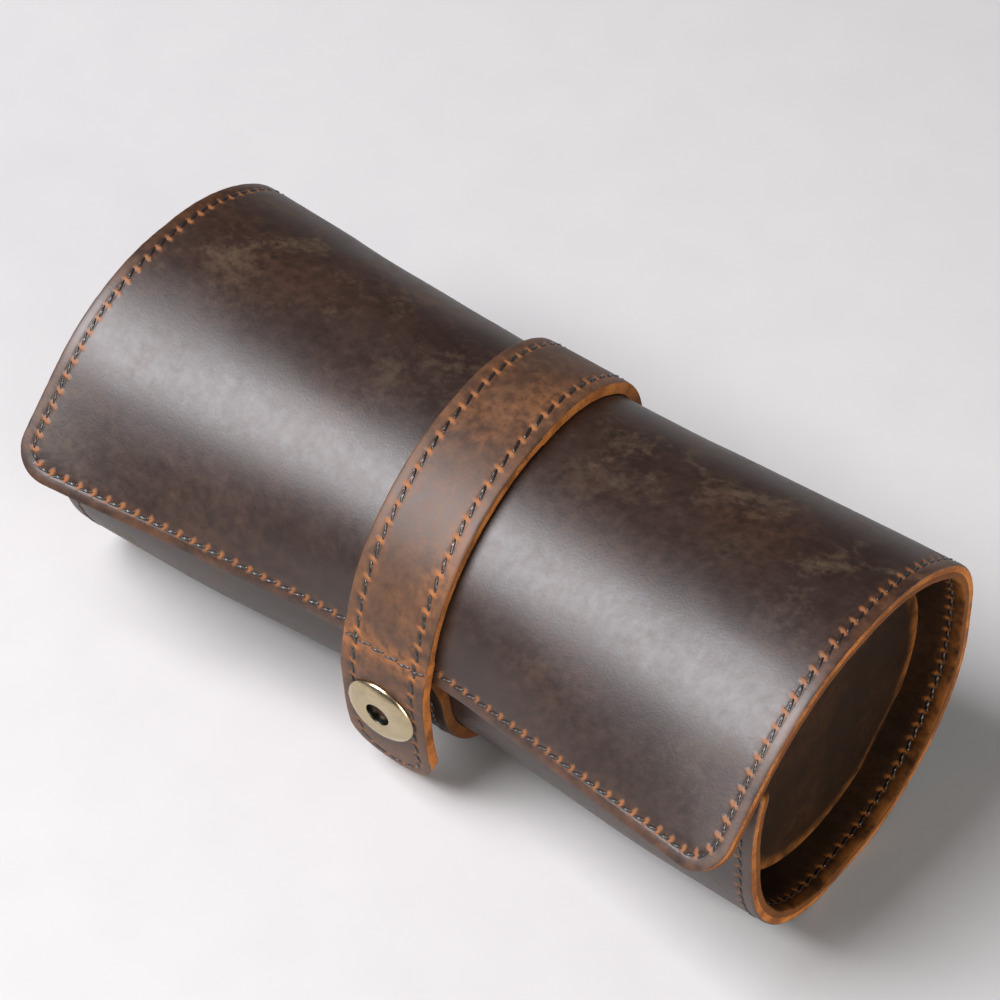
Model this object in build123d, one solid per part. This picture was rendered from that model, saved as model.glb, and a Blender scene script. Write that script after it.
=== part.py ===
"""Travel watch case: a leather watch roll closed by a strap with a ring snap.

One sheet of two leathers, an outer skin and a lining, is wound once around
three watch cushions. It starts inside the front, runs down and under, up the
back, over the top and ends as a flap outside the front. A strap of two plies
lies round the waist of the roll and pulls it in. Its free tab carries the cap
and socket of a ring snap, and its other end carries the stud. A round leather
ear closes each end, and two dividers part the cushions.

X runs along the roll, -Y is the front with the snap, and +Z is up. The origin
is the middle of the footprint, on the surface that the case stands on.
Sizes are in millimetres, turns and angles in degrees.
"""

import os
from dataclasses import dataclass, fields
from math import cos, hypot, radians, sin, tan

from build123d import *

# Overall
case_length = 190.0
waist_length = 34.0
foot_length = 34.0
foot_cut = 0.6
hinge_height = 46.0
hinge_gap = 0.3

# Leather
skin = 2.0
lining = 1.8
strap_face = 1.7
strap_back = 1.5
ear_leather = 2.0
tongue_leather = 1.4
divider_leather = 2.4
wrap_leather = 1.4
cheek_leather = 1.8

# Strap
strap_width = 23.4
strap_skew = 3.8
strap_shift = -1.0
table_gap = 0.5
stud_margin = 10.4
tab_bend_radius = 20.0
tab_bend_turn = 20.0
tab_line = 10.0
tab_tail_radius = 60.0
tab_tail_turn = 17.2

# Ring snap
cap_radius = 8.8
cap_rise = 2.0
cap_hole = 2.9
cap_edge = 0.7
cap_rim = 1.1
barrel_radius = 2.4
barrel_wall = 0.5
socket_radius = 5.2
socket_wall = 0.8
stud_flange_radius = 5.4
stud_head_radius = 3.1
stud_head_height = 1.2
stud_bevel = 0.35
stud_neck_radius = 2.5
post_radius = 1.6
post_flange_radius = 4.8
metal = 0.7
snap_play = 0.25
spring_wire = 1.6

# Flap
lip_corner = 9.0
bend_turn = 28.0

# Ears
ear_inset = 9.5
ear_gap = 1.9
fold_depth = 1.8
tongue_length = 14.0
tongue_gap = 0.2

# Cushions and dividers
cushion_width = 50.0
cushion_height = 41.0
cushion_corner = 20.0
cushion_crown = 1.5
cushion_room = 2.0
cushion_shift = 0.5
divider_top = 54.0
divider_place = 28.0
seat_gap = 0.3

# Worked out from the sizes above
leather = skin + lining
strap = strap_face + strap_back
half = case_length / 2
waist_half = waist_length / 2
foot_start = half - foot_length
FAR = 4 * case_length


@dataclass
class Section:
    """A cross section of the roll: places of its back and floor, then tangent lines and arcs."""

    back: float
    floor: float
    heel_radius: float
    floor_run: float
    toe_radius: float
    toe_turn: float
    front_radius: float
    front_turn: float
    front_run: float
    tip_radius: float
    tip_turn: float
    shoulder_rise: float
    shoulder_radius: float
    shoulder_turn: float
    crown_radius: float
    crown_run: float
    brow_radius: float
    brow_turn: float
    lip_run: float


END = Section(
    back=45.0,
    floor=-foot_cut,
    heel_radius=41.0,
    floor_run=8.0,
    toe_radius=30.0,
    toe_turn=50.0,
    front_radius=42.0,
    front_turn=35.0,
    front_run=8.6,
    tip_radius=45.0,
    tip_turn=25.0,
    shoulder_rise=4.0,
    shoulder_radius=22.2,
    shoulder_turn=50.0,
    crown_radius=45.6,
    crown_run=7.9,
    brow_radius=60.0,
    brow_turn=4.0,
    lip_run=24.0,
)
WAIST = Section(
    back=42.0,
    floor=strap + table_gap,
    heel_radius=38.0,
    floor_run=8.0,
    toe_radius=28.0,
    toe_turn=50.0,
    front_radius=26.0,
    front_turn=35.0,
    front_run=7.0,
    tip_radius=24.0,
    tip_turn=43.0,
    shoulder_rise=3.5,
    shoulder_radius=19.7,
    shoulder_turn=50.0,
    crown_radius=38.8,
    crown_run=7.9,
    brow_radius=30.2,
    brow_turn=35.0,
    lip_run=9.0,
)


def section_at(x):
    """The section at a station along the roll, drawn in towards the waist."""
    reach = min(max(abs(x), waist_half), half)
    share = (half - reach) / (half - waist_half)
    values = {
        f.name: (1 - share) * getattr(END, f.name) + share * getattr(WAIST, f.name)
        for f in fields(Section)
    }
    rise = max(foot_start - reach, 0) / (foot_start - waist_half)
    values["floor"] = (1 - rise) * END.floor + rise * WAIST.floor
    return Section(**values)


@dataclass
class Run:
    """Tangent lines and arcs from a start, each bent to one side: 1 is left and -1 is right."""

    start: tuple
    heading: float
    side: int
    steps: dict

    def pieces(self, depth):
        """Each step moved sideways by depth, as (first point, middle of an arc, last point)."""
        y, z, heading = *self.start, self.heading
        made = []
        for size, turn in self.steps.values():
            first = self.aside(y, z, heading, depth)
            if turn:
                centre = self.aside(y, z, heading, size)
                middle = self.aside(*centre, heading + self.side * turn / 2, depth - size)
                heading += self.side * turn
                y, z = self.aside(*centre, heading, -size)
            else:
                middle = None
                y += size * cos(radians(heading))
                z += size * sin(radians(heading))
            made.append((first, middle, self.aside(y, z, heading, depth)))
        return made

    def aside(self, y, z, heading, depth):
        """A point moved by depth towards the side that the run bends to."""
        angle = radians(heading + 90 * self.side)
        return y + depth * cos(angle), z + depth * sin(angle)

    def end(self, step, depth=0.0):
        """The point where a step ends, and the heading there."""
        names = list(self.steps)
        done = names[: names.index(step) + 1]
        turned = sum(self.steps[name][1] for name in done)
        return self.pieces(depth)[len(done) - 1][2], self.heading + self.side * turned


def body_run(s):
    """The outer face from the hinge line down the back, under the roll and up the front wall."""
    return Run(
        (s.back, hinge_height),
        -90,
        -1,
        {
            "back": (hinge_height - s.floor - s.heel_radius, 0),
            "heel": (s.heel_radius, 90),
            "floor": (s.floor_run, 0),
            "toe": (s.toe_radius, s.toe_turn),
            "front curve": (s.front_radius, s.front_turn),
            "front": (s.front_run, 0),
            "tip": (s.tip_radius, s.tip_turn),
        },
    )


def flap_run(s):
    """The inner face from the hinge line up the back and over the top to the lip."""
    crown_turn = 90 - s.shoulder_turn
    return Run(
        (s.back - leather, hinge_height),
        90,
        1,
        {
            "rise": (s.shoulder_rise, 0),
            "shoulder": (s.shoulder_radius, s.shoulder_turn),
            "crown back": (s.crown_radius, crown_turn),
            "crown": (s.crown_run - leather, 0),
            "crown bend": (s.crown_radius, bend_turn),
            "crown front": (s.crown_radius, crown_turn - bend_turn),
            "brow": (s.brow_radius, s.brow_turn),
            "lip": (s.lip_run, 0),
        },
    )


def edge(x, first, middle, last):
    """A line or an arc across the roll at a station."""
    points = [(x, *p) for p in (first, middle, last) if p]
    return ThreePointArc(*points) if middle else Line(*points)


def band_wire(x, run, near, far):
    """The closed outline of a layer that lies between two depths of a run, at a station."""
    out = run.pieces(near)
    home = [(last, middle, first) for first, middle, last in reversed(run.pieces(far))]
    loop = [*out, (out[-1][2], None, home[0][0]), *home, (home[-1][2], None, out[0][0])]
    return Wire([edge(x, *piece) for piece in loop])


def sheet(run_of, near, far, stations):
    """A layer of the wound sheet, ruled from station to station."""
    wires = [band_wire(x, run_of(section_at(x)), near, far) for x in stations]
    return Solid.make_loft(wires, ruled=True)


def cross_plane(point, heading):
    """The plane across the roll's section at a point, facing along a heading."""
    along = (0, cos(radians(heading)), sin(radians(heading)))
    return Plane(origin=(0, *point), x_dir=(1, 0, 0), z_dir=along)


def before(solid, plane):
    """What of a solid lies behind a plane."""
    return split(solid, bisect_by=plane, keep=Keep.BOTTOM)


def beyond(solid, plane):
    """What of a solid lies in front of a plane."""
    return split(solid, bisect_by=plane, keep=Keep.TOP)


def mirrored(solid):
    """The same piece at the other end of the roll."""
    return solid.mirror(Plane.YZ)


# Hinge lines, each just outside all that it carries
waist_flap = flap_run(WAIST)
back_axis = (max(END.back, WAIST.back + strap) + hinge_gap, hinge_height)
bend_point, bend_heading = flap_run(END).end("crown bend", -leather - hinge_gap)
bend_plane = cross_plane(bend_point, bend_heading)
lip_point, lip_heading = waist_flap.end("lip", -leather)
tab_axis = waist_flap.end("lip", -leather - strap - hinge_gap)[0]


def outward(heading):
    """The direction out of the roll from a flap or tab run with this heading."""
    angle = radians(heading - 90)
    return 0, cos(angle), sin(angle)


def round_lip(solid):
    """Rounds both outer corners of the flap's lip."""
    point, heading = flap_run(END).end("lip")
    face = Plane(origin=(half, *point), x_dir=(1, 0, 0), z_dir=outward(heading))
    spare = lip_corner
    size = lip_corner + spare
    middle = (spare - lip_corner) / 2
    block = Pos(middle, -middle, 0) * Box(size, size, half)
    post = Pos(-lip_corner, lip_corner, 0) * Cylinder(lip_corner, case_length)
    cutter = face * (block - post)
    return solid - cutter - mirrored(cutter)


# The sheet of two leathers
above_ground = Pos(0, 0, FAR / 2) * Box(FAR, FAR, FAR)


def body_layer(near, far):
    """A layer of the body, cut flat where it stands."""
    stations = [-half, -foot_start, -waist_half, waist_half, foot_start, half]
    return sheet(body_run, near, far, stations) & above_ground


def flap_layers(near, far):
    """A layer of the flap as its top and its front."""
    whole = sheet(flap_run, near, far, [-half, -waist_half, waist_half, half])
    return before(whole, bend_plane), round_lip(beyond(whole, bend_plane))


# The strap, which crosses the roll at a slant
strap_slab = Pos(strap_shift, 0, 0) * Rot(0, 0, strap_skew) * Box(strap_width, FAR, FAR)
across = strap_width / cos(radians(strap_skew))


def strap_middle(y):
    """Where the strap's middle line lies along the roll at a depth."""
    return strap_shift - y * tan(radians(strap_skew))


def strap_layer(run, near, far):
    """A ply of the strap along a run, between two depths."""
    wires = [band_wire(x, run, near, far) for x in (-waist_half, waist_half)]
    return Solid.make_loft(wires, ruled=True) & strap_slab


def round_end(solid, point, heading):
    """Rounds the end of a ply whose run ends at a point with a heading."""
    along = (0, cos(radians(heading)), sin(radians(heading)))
    side = (0, -along[2], along[1])
    radius = across / 2
    end = Plane(origin=(strap_middle(point[0]), *point), x_dir=(1, 0, 0), z_dir=side)
    way = 1 if end.y_dir.dot(Vector(*along)) > 0 else -1
    block = Pos(0, way * (across - radius) / 2, 0) * Box(2 * across, radius + across, across)
    post = Pos(0, -way * radius, 0) * Cylinder(radius, 2 * across)
    return solid - end * (block - post)


def counter_run():
    """The outer face under the strap, from the hinge line to the strap's end by the stud."""
    base = body_run(WAIST)
    steps = {name: step for name, step in base.steps.items() if name not in ("front", "tip")}
    return Run(base.start, base.heading, base.side, {**steps, "stud margin": (stud_margin, 0)})


def tab_run():
    """The inner face of the tab, from the flap's lip to the tip."""
    steps = {
        "bend": (tab_bend_radius, tab_bend_turn),
        "line": (tab_line, 0),
        "tail": (tab_tail_radius, tab_tail_turn),
    }
    return Run(lip_point, lip_heading, 1, steps)


# The ring snap, along its own axis from the outer face of the strap under it
stud_point, stud_heading = body_run(WAIST).end("front curve", -strap)
snap_way = (0, cos(radians(stud_heading + 90)), sin(radians(stud_heading + 90)))
snap_plane = Plane(
    origin=(strap_middle(stud_point[0]), *stud_point), x_dir=(1, 0, 0), z_dir=snap_way
)
tab_point = tab_run().end("line")[0]
stack = (tab_point[0] - stud_point[0]) * snap_way[1] + (tab_point[1] - stud_point[1]) * snap_way[2]
head_top = stack - metal - snap_play
head_foot = head_top - stud_head_height


def turned(points):
    """A body of revolution on the snap's axis from its half profile, as radius and height."""
    outline = Polyline(*[(r, 0, z) for r, z in points], close=True)
    return snap_plane * revolve(make_face(outline), Axis.Z, 360)


def drilled(solid, radius, low, high):
    """A piece with a round hole on the snap's axis between two heights."""
    hole = Pos(0, 0, (low + high) / 2) * Cylinder(radius, high - low)
    return solid - snap_plane * hole


def snap_post():
    """The rivet under the strap that holds the stud."""
    return turned(
        [
            (0, -strap),
            (post_flange_radius, -strap),
            (post_flange_radius, -strap + metal),
            (post_radius, -strap + metal),
            (post_radius, head_top),
            (0, head_top),
        ]
    )


def snap_stud():
    """The stud with its flange, neck and head."""
    return turned(
        [
            (post_radius, 0),
            (stud_flange_radius, 0),
            (stud_flange_radius, metal),
            (stud_neck_radius, metal),
            (stud_neck_radius, head_foot),
            (stud_head_radius, head_foot + stud_bevel),
            (stud_head_radius, head_top - stud_bevel),
            (stud_head_radius - stud_bevel, head_top),
            (post_radius, head_top),
        ]
    )


def snap_socket():
    """The socket: a plate under the tab with a rim around the stud's head."""
    inner = socket_radius - socket_wall
    return turned(
        [
            (barrel_radius, stack - metal),
            (inner, stack - metal),
            (inner, metal + snap_play),
            (socket_radius, metal + snap_play),
            (socket_radius, stack),
            (barrel_radius, stack),
        ]
    )


def snap_spring():
    """The split spring ring inside the socket, which grips the stud below its head."""
    outer = socket_radius - socket_wall
    inner = outer - spring_wire
    low = metal + 1.5 * snap_play
    high = head_foot - snap_play / 2
    ring = turned([(inner, low), (outer, low), (outer, high), (inner, high)])
    slot = Pos(0, outer, 0) * Box(spring_wire, 2 * outer, 2 * stack)
    return ring - snap_plane * slot


def snap_cap():
    """The domed ring on the tab, with the barrel that clinches the socket."""
    face = stack + strap
    crest = (cap_radius + cap_hole) / 2
    bore = barrel_radius - barrel_wall
    points = [
        (cap_hole, 0, face + cap_rim),
        (cap_hole, 0, face + barrel_wall),
        (bore, 0, face + barrel_wall),
        (bore, 0, stack - metal),
        (barrel_radius, 0, stack - metal),
        (barrel_radius, 0, face),
        (cap_radius, 0, face),
        (cap_radius, 0, face + cap_edge),
    ]
    dome = ThreePointArc(points[-1], (crest, 0, face + cap_rise), points[0])
    outline = Wire([*Polyline(*points).edges(), dome.edge()])
    return snap_plane * revolve(Face(outline), Axis.Z, 360)


# Round pieces inside the ends
ear_face = half - ear_inset
ear_section = section_at(ear_face - ear_leather)
ear_top = flap_run(ear_section).end("crown back")[0][1]
ear_floor = ear_section.floor + leather
ear_radius = (ear_top - ear_floor) / 2 - ear_gap
ear_centre = (
    ear_section.back - leather - ear_gap - ear_radius,
    (ear_top + ear_floor) / 2,
)
fold_reach = ear_radius - fold_depth
slope = cos(radians(45))
fold_point = (ear_centre[0] + fold_reach * slope, ear_centre[1] - fold_reach * slope)
fold_half = (ear_radius**2 - fold_reach**2) ** 0.5


def fold_side():
    """The half space on the inner side of the ear's fold."""
    centre = (fold_point[0] - slope * FAR / 2, fold_point[1] + slope * FAR / 2)
    return Pos(0, *centre) * Rot(-45, 0, 0) * Box(FAR, FAR, FAR)


def ear():
    """The right hand ear: a round leather end, cut straight at its fold."""
    disc = Pos(ear_face - ear_leather / 2, *ear_centre) * Rot(0, 90, 0)
    return disc * Cylinder(ear_radius, ear_leather) & fold_side()


def ear_tongue():
    """The right hand ear's tongue, which lies along the lining from the fold inward."""
    outer = ear_face - ear_leather - tongue_gap
    near = leather + tongue_gap
    band = sheet(body_run, near, near + tongue_leather, [outer - tongue_length, outer])
    block = Pos(outer, *fold_point) * Rot(-45, 0, 0) * Box(half, 2 * fold_half, ear_radius)
    return band & block


def divider():
    """The right hand divider: a leather wall across the inside, level along its top."""
    wires = []
    for side in (-1, 1):
        x = divider_place + side * divider_leather / 2
        section = section_at(x)
        inside = body_run(section).pieces(leather + seat_gap)
        start, end = inside[0][0], inside[-1][2]
        corner = (start[0] - 2 * seat_gap, divider_top)
        lines = [(end, None, corner), (corner, None, start)]
        wires.append(Wire([edge(x, *piece) for piece in [*inside, *lines]]))
    return Solid.make_loft(wires, ruled=True)


# Cushions
def oval(x, width, height, y, z):
    """A cushion's outline at a station, standing on a height."""
    shape = RectangleRounded(width, height, cushion_corner - (cushion_height - height) / 2)
    plane = Plane(origin=(x, y, z + height / 2), x_dir=(0, 1, 0), z_dir=(1, 0, 0))
    return (plane * shape).face().outer_wire()


def barrel(middle, length, inset, y, z):
    """A cushion that swells by its crown towards its middle, drawn in by an inset."""
    wires = []
    for share, crown in ((-0.5, 0), (0, cushion_crown), (0.5, 0)):
        shrink = 2 * (inset + cushion_crown - crown)
        width = cushion_width - shrink
        height = cushion_height - shrink
        low = z + inset + cushion_crown - crown
        wires.append(oval(middle + share * length, width, height, y, low))
    return Solid.make_loft(wires)


def seat_under(middle, length):
    """The height of a cushion's underside where it first meets the lining."""
    heights = []
    for share in (-1, -0.8, -0.6, -0.4, -0.2, 0, 0.2, 0.4, 0.6, 0.8, 1):
        section = section_at(middle + share * length / 2)
        heights.append(section.floor + leather - cushion_crown * share**2)
    return max(heights) + seat_gap


def cushion(middle, length, y, z):
    """A cushion as its core, the leather wrapped around it and its two cheeks."""
    full = barrel(middle, length, 0, y, z)
    inner = barrel(middle, length, wrap_leather, y, z)
    between = Pos(middle, 0, 0) * Box(length - 2 * cheek_leather, FAR, FAR)
    return inner & between, full - inner, inner - between


# All pieces by name
print("stack", round(stack, 3))
pieces = {}
body_outer = body_layer(0, skin)
body_lining = body_layer(skin, leather)
flap_top_outer, flap_front_outer = flap_layers(-leather, -lining)
flap_top_lining, flap_front_lining = flap_layers(-lining, 0)
pieces["body_outer"] = body_outer
pieces["body_lining"] = body_lining
pieces["flap_top_outer"] = flap_top_outer
pieces["flap_top_lining"] = flap_top_lining
pieces["flap_front_outer"] = flap_front_outer
pieces["flap_front_lining"] = flap_front_lining

plies = {"back": (-strap_back, 0), "face": (-strap, -strap_back)}
counter_end = counter_run().end("stud margin")
tab_end = tab_run().end("tail")
for ply, (near, far) in plies.items():
    counter = strap_layer(counter_run(), near, far)
    counter = round_end(counter, *counter_end)
    counter = drilled(counter, post_radius, -2 * strap, strap)
    if ply == "back":
        counter = drilled(counter, post_flange_radius, -2 * strap, -strap + metal)
    over = strap_layer(waist_flap, near - leather, far - leather)
    tab = round_end(strap_layer(tab_run(), near, far), *tab_end)
    pieces[f"counter_strap_{ply}"] = counter
    pieces[f"strap_top_{ply}"] = before(over, bend_plane)
    pieces[f"strap_front_{ply}"] = beyond(over, bend_plane)
    tab = drilled(tab, socket_radius, 0, stack)
    pieces[f"tab_{ply}"] = drilled(tab, barrel_radius, stack - strap, stack + 2 * strap)

pieces["snap_post"] = snap_post()
pieces["snap_stud"] = snap_stud()
pieces["snap_socket"] = snap_socket()
pieces["snap_spring"] = snap_spring()
pieces["snap_cap"] = snap_cap()

for name, shape in {"ear": ear(), "ear_tongue": ear_tongue(), "divider": divider()}.items():
    pieces[f"{name}_right"] = shape
    pieces[f"{name}_left"] = mirrored(shape)

divider_face = divider_place + divider_leather / 2
bay_end = ear_face - ear_leather
side_length = bay_end - divider_face - 2 * cushion_room
side_middle = (bay_end + divider_face) / 2
centre_length = 2 * (divider_place - divider_leather / 2 - cushion_room)
cushion_y = WAIST.back - WAIST.heel_radius - WAIST.floor_run / 2 + cushion_shift
places = {
    "centre": (0, centre_length),
    "right": (side_middle, side_length),
    "left": (-side_middle, side_length),
}
for name, (middle, length) in places.items():
    core, wrap, cheeks = cushion(middle, length, cushion_y, seat_under(middle, length))
    pieces[f"cushion_core_{name}"] = core
    pieces[f"cushion_wrap_{name}"] = wrap
    pieces[f"cushion_cheeks_{name}"] = cheeks

# Written with the origin under the middle of the footprint
boxes = [shape.bounding_box() for shape in pieces.values()]
shift = -(min(b.min.Y for b in boxes) + max(b.max.Y for b in boxes)) / 2
os.makedirs("parts", exist_ok=True)
for name, shape in pieces.items():
    solids = [Pos(0, shift, 0) * solid for solid in shape.solids()]
    export_step(solids[0] if len(solids) == 1 else Compound(children=solids), f"parts/{name}.step")

for name, (y, z) in {
    "flap top axis": back_axis,
    "flap front axis": bend_point,
    "strap tab axis": tab_axis,
    "ear axis": fold_point,
    "snap": stud_point,
}.items():
    print(name, round(y + shift, 3), round(z, 3))
print("shift", round(shift, 3), "snap x", round(snap_plane.origin.X, 3), "snap way", snap_way)
print("ear face", ear_face, "radius", round(ear_radius, 3), "centre", ear_centre)
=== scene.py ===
"""Looks of a leather watch roll: its wound sheet, strap, stitching, ring snap, ears and cushions.

X runs along the roll, -Y is the front with the snap and +Z is up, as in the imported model.
Sizes are in metres and turns in degrees, except where a property holds radians.
"""

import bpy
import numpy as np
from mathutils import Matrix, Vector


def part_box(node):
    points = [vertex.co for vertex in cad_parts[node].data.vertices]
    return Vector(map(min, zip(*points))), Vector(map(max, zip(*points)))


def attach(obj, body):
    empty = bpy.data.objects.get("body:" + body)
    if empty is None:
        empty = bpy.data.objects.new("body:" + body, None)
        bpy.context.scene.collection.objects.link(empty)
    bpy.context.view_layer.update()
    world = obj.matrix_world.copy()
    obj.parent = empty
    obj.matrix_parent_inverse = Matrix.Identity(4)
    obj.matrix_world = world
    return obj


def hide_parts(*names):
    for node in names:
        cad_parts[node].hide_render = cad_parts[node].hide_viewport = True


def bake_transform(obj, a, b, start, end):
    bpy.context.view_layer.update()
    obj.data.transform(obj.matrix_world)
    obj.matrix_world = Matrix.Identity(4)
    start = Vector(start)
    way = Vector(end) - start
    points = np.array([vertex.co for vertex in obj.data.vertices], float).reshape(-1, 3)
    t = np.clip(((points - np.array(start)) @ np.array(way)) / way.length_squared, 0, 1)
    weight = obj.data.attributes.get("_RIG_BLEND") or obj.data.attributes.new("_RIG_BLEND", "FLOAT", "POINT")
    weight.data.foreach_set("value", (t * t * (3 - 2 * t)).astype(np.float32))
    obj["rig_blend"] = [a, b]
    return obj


bl_info = {
    "name": "Travel watch case",
    "version": (1, 0, 0),
    "blender": (4, 5, 0),
    "location": "3D View > Sidebar > Watch Case",
    "description": "Dresses a packed leather watch roll in its leather, stitches and metal",
    "category": "Add Mesh",
}

from bisect import bisect_right
from dataclasses import dataclass
from functools import lru_cache
from math import asin, ceil, cos, exp, hypot, pi, radians, sin, sqrt, tan

import bmesh
import bpy
from bpy.props import FloatProperty, FloatVectorProperty, PointerProperty
from mathutils import Matrix, Vector
from mathutils.kdtree import KDTree

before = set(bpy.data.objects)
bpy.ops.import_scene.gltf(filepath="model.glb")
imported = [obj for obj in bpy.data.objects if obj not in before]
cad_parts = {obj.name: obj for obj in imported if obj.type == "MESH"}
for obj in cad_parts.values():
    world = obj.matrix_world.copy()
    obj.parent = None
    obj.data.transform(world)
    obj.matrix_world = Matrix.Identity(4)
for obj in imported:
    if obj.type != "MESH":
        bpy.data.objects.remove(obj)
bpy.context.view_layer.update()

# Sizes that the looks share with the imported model
half = 0.095
waist_half = 0.017
foot_start = 0.061
hinge_height = 0.046
skin = 0.002
lining = 0.0018
leather = skin + lining
strap = 0.0032
strap_width = 0.0234
strap_skew = 3.8
strap_shift = -0.001
stud_margin = 0.0104
lip_corner = 0.009
tip_corner = 0.0015
bend_turn = 28.0
ear_face = 0.0855
ear_leather = 0.002
ear_gap = 0.0019
fold_depth = 0.0018
tongue_leather = 0.0014
tongue_length = 0.0125
tongue_gap = 0.0002
divider_place = 0.028
divider_leather = 0.0024
divider_top = 0.054
seat_gap = 0.0003
cushion_corner = 0.020
cushion_crown = 0.0015
cheek = 0.0018

# Each measure of the sheet's section, at the roll's ends and at its waist
SECTION = {
    "back": (0.045, 0.042),
    "floor": (-0.0006, 0.0037),
    "heel": (0.041, 0.038),
    "floor_run": (0.008, 0.008),
    "toe": (0.030, 0.028),
    "toe_turn": (50.0, 50.0),
    "front": (0.042, 0.026),
    "front_turn": (35.0, 35.0),
    "front_run": (0.0086, 0.007),
    "tip": (0.045, 0.024),
    "tip_turn": (25.0, 43.0),
    "rise": (0.004, 0.0035),
    "shoulder": (0.0222, 0.0197),
    "shoulder_turn": (50.0, 50.0),
    "crown": (0.0456, 0.0388),
    "crown_run": (0.0079, 0.0079),
    "brow": (0.060, 0.0302),
    "brow_turn": (4.0, 35.0),
    "lip_run": (0.024, 0.009),
}
END = {key: at_end for key, (at_end, _) in SECTION.items()}
WAIST = {key: at_waist for key, (_, at_waist) in SECTION.items()}

# The tab past the lip, as lengths or radii with turns
TAB_STEPS = [(0.020, 20.0), (0.010, 0), (0.075, 16.0)]

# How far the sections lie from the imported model's frame, and what wear takes off the strap
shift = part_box("body_outer")[1].y - END["back"]
strap_wear = 0.0010
across = (strap_width - strap_wear) / cos(radians(strap_skew))


def mixed(share):
    """The section at a share of the way from the end to the waist."""
    section = {key: (1 - share) * END[key] + share * WAIST[key] for key in END}
    return {**section, "floor": END["floor"]}


foot_share = (half - foot_start) / (half - waist_half)
MIDDLE = mixed(foot_share)


# Lines across the roll


def body_steps(s):
    """Down the back, under the roll and up the front, as lengths or radii with turns."""
    return [
        (hinge_height - s["floor"] - s["heel"], 0),
        (s["heel"], 90),
        (s["floor_run"], 0),
        (s["toe"], s["toe_turn"]),
        (s["front"], s["front_turn"]),
        (s["front_run"], 0),
        (s["tip"], s["tip_turn"]),
    ]


def flap_steps(s):
    """Up the back and over the top to the lip, along the inner face."""
    crown_turn = 90 - s["shoulder_turn"]
    return [
        (s["rise"], 0),
        (s["shoulder"], s["shoulder_turn"]),
        (s["crown"], crown_turn),
        (s["crown_run"] - leather, 0),
        (s["crown"], bend_turn),
        (s["crown"], crown_turn - bend_turn),
        (s["brow"], s["brow_turn"]),
        (s["lip_run"], 0),
    ]


def length_of(step):
    """How long a step is."""
    size, turn = step
    return size * radians(turn) if turn else size


def total(steps):
    """How long steps are together."""
    return sum(length_of(step) for step in steps)


def moved(point, heading, distance):
    """A point moved along a heading."""
    angle = radians(heading)
    return point[0] + distance * cos(angle), point[1] + distance * sin(angle)


def chain(start, heading, side, steps):
    """Where each step starts and which way it heads."""
    laid = []
    point = start
    for size, turn in steps:
        laid.append((point, heading, side, size, turn))
        if turn:
            centre = moved(point, heading + 90 * side, size)
            heading += side * turn
            point = moved(centre, heading + 90 * side, -size)
        else:
            point = moved(point, heading, size)
    return laid


def spot(laid, share, lift=0.0):
    """A place on a laid step, lifted outwards: y, z and the way inwards."""
    point, heading, side, size, turn = laid
    if turn:
        centre = moved(point, heading + 90 * side, size)
        heading += side * turn * share
        point = moved(centre, heading + 90 * side, -size)
    else:
        point = moved(point, heading, size * share)
    inward = moved((0, 0), heading + 90 * side, 1)
    return (*moved(point, heading + 90 * side, -lift), *inward)


def placed(steps, length):
    """The step and the share of it at a length along the steps."""
    for index, step in enumerate(steps):
        size = length_of(step)
        if length <= size or index == len(steps) - 1:
            return index, length / size
        length -= size


def down_line(s):
    """The body's outer face on a section, laid."""
    return chain((s["back"], hinge_height), -90, -1, body_steps(s))


def up_line(s):
    """The flap's inner face on a section, laid."""
    return chain((s["back"] - leather, hinge_height), 90, 1, flap_steps(s))


sections = [WAIST, MIDDLE, END]
down_lines = [down_line(s) for s in sections]
up_lines = [up_line(s) for s in sections]
sheet_tip = -total(body_steps(END))
sheet_lip = total(flap_steps(END))
strap_lip = total(flap_steps(WAIST))
strap_tip = strap_lip + total(TAB_STEPS)
steps_to_stud = 5
stud_place = -total(body_steps(WAIST)[:steps_to_stud])
counter_tip = stud_place - stud_margin


def flap_corner(s):
    """Where the lip's outer corner lies on a section, and its heading."""
    y, z, *_ = spot(up_line(s)[-1], 1, leather)
    return (y, z), 90 + sum(turn for _, turn in flap_steps(s))


tab_line = chain(*flap_corner(WAIST), 1, TAB_STEPS)

# The flap's brow and lip run, from this step on, are shared out as one length
tail_step = 6


def flap_place(s, run):
    """The step and the share of it on a section's flap, at a run length."""
    index, share = placed(flap_steps(END), run)
    if index < tail_step:
        return index, share
    steps = flap_steps(s)[tail_step:]
    before = total(flap_steps(END)[:tail_step])
    index, share = placed(steps, (run - before) * total(steps) / (sheet_lip - before))
    return tail_step + index, share


def sheet_place(s, run):
    """The steps of the body or the flap, and which step and share of it a run length is at."""
    if run < 0:
        return body_steps(s), *placed(body_steps(END), -run)
    return flap_steps(s), *flap_place(s, run)


@lru_cache(maxsize=None)
def sheet_lengths(run):
    """The real length from the back hinge line to a run length, at each station."""
    lengths = []
    for s in sections:
        steps, index, share = sheet_place(s, run)
        length = total(steps[:index]) + share * length_of(steps[index])
        lengths.append(-length if run < 0 else length)
    return lengths


@lru_cache(maxsize=None)
def sheet_spots(run):
    """The sheet's outer face at a run length from the back hinge line, at each station."""
    lines, lift = (down_lines, 0.0) if run < 0 else (up_lines, leather)
    spots = []
    for line, s in zip(lines, sections):
        _, index, share = sheet_place(s, run)
        spots.append(spot(line[index], share, lift))
    if run >= 0:
        pairs = zip(spots[0], spots[2])
        spots[1] = tuple(foot_share * a + (1 - foot_share) * b for a, b in pairs)
    return spots


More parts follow.
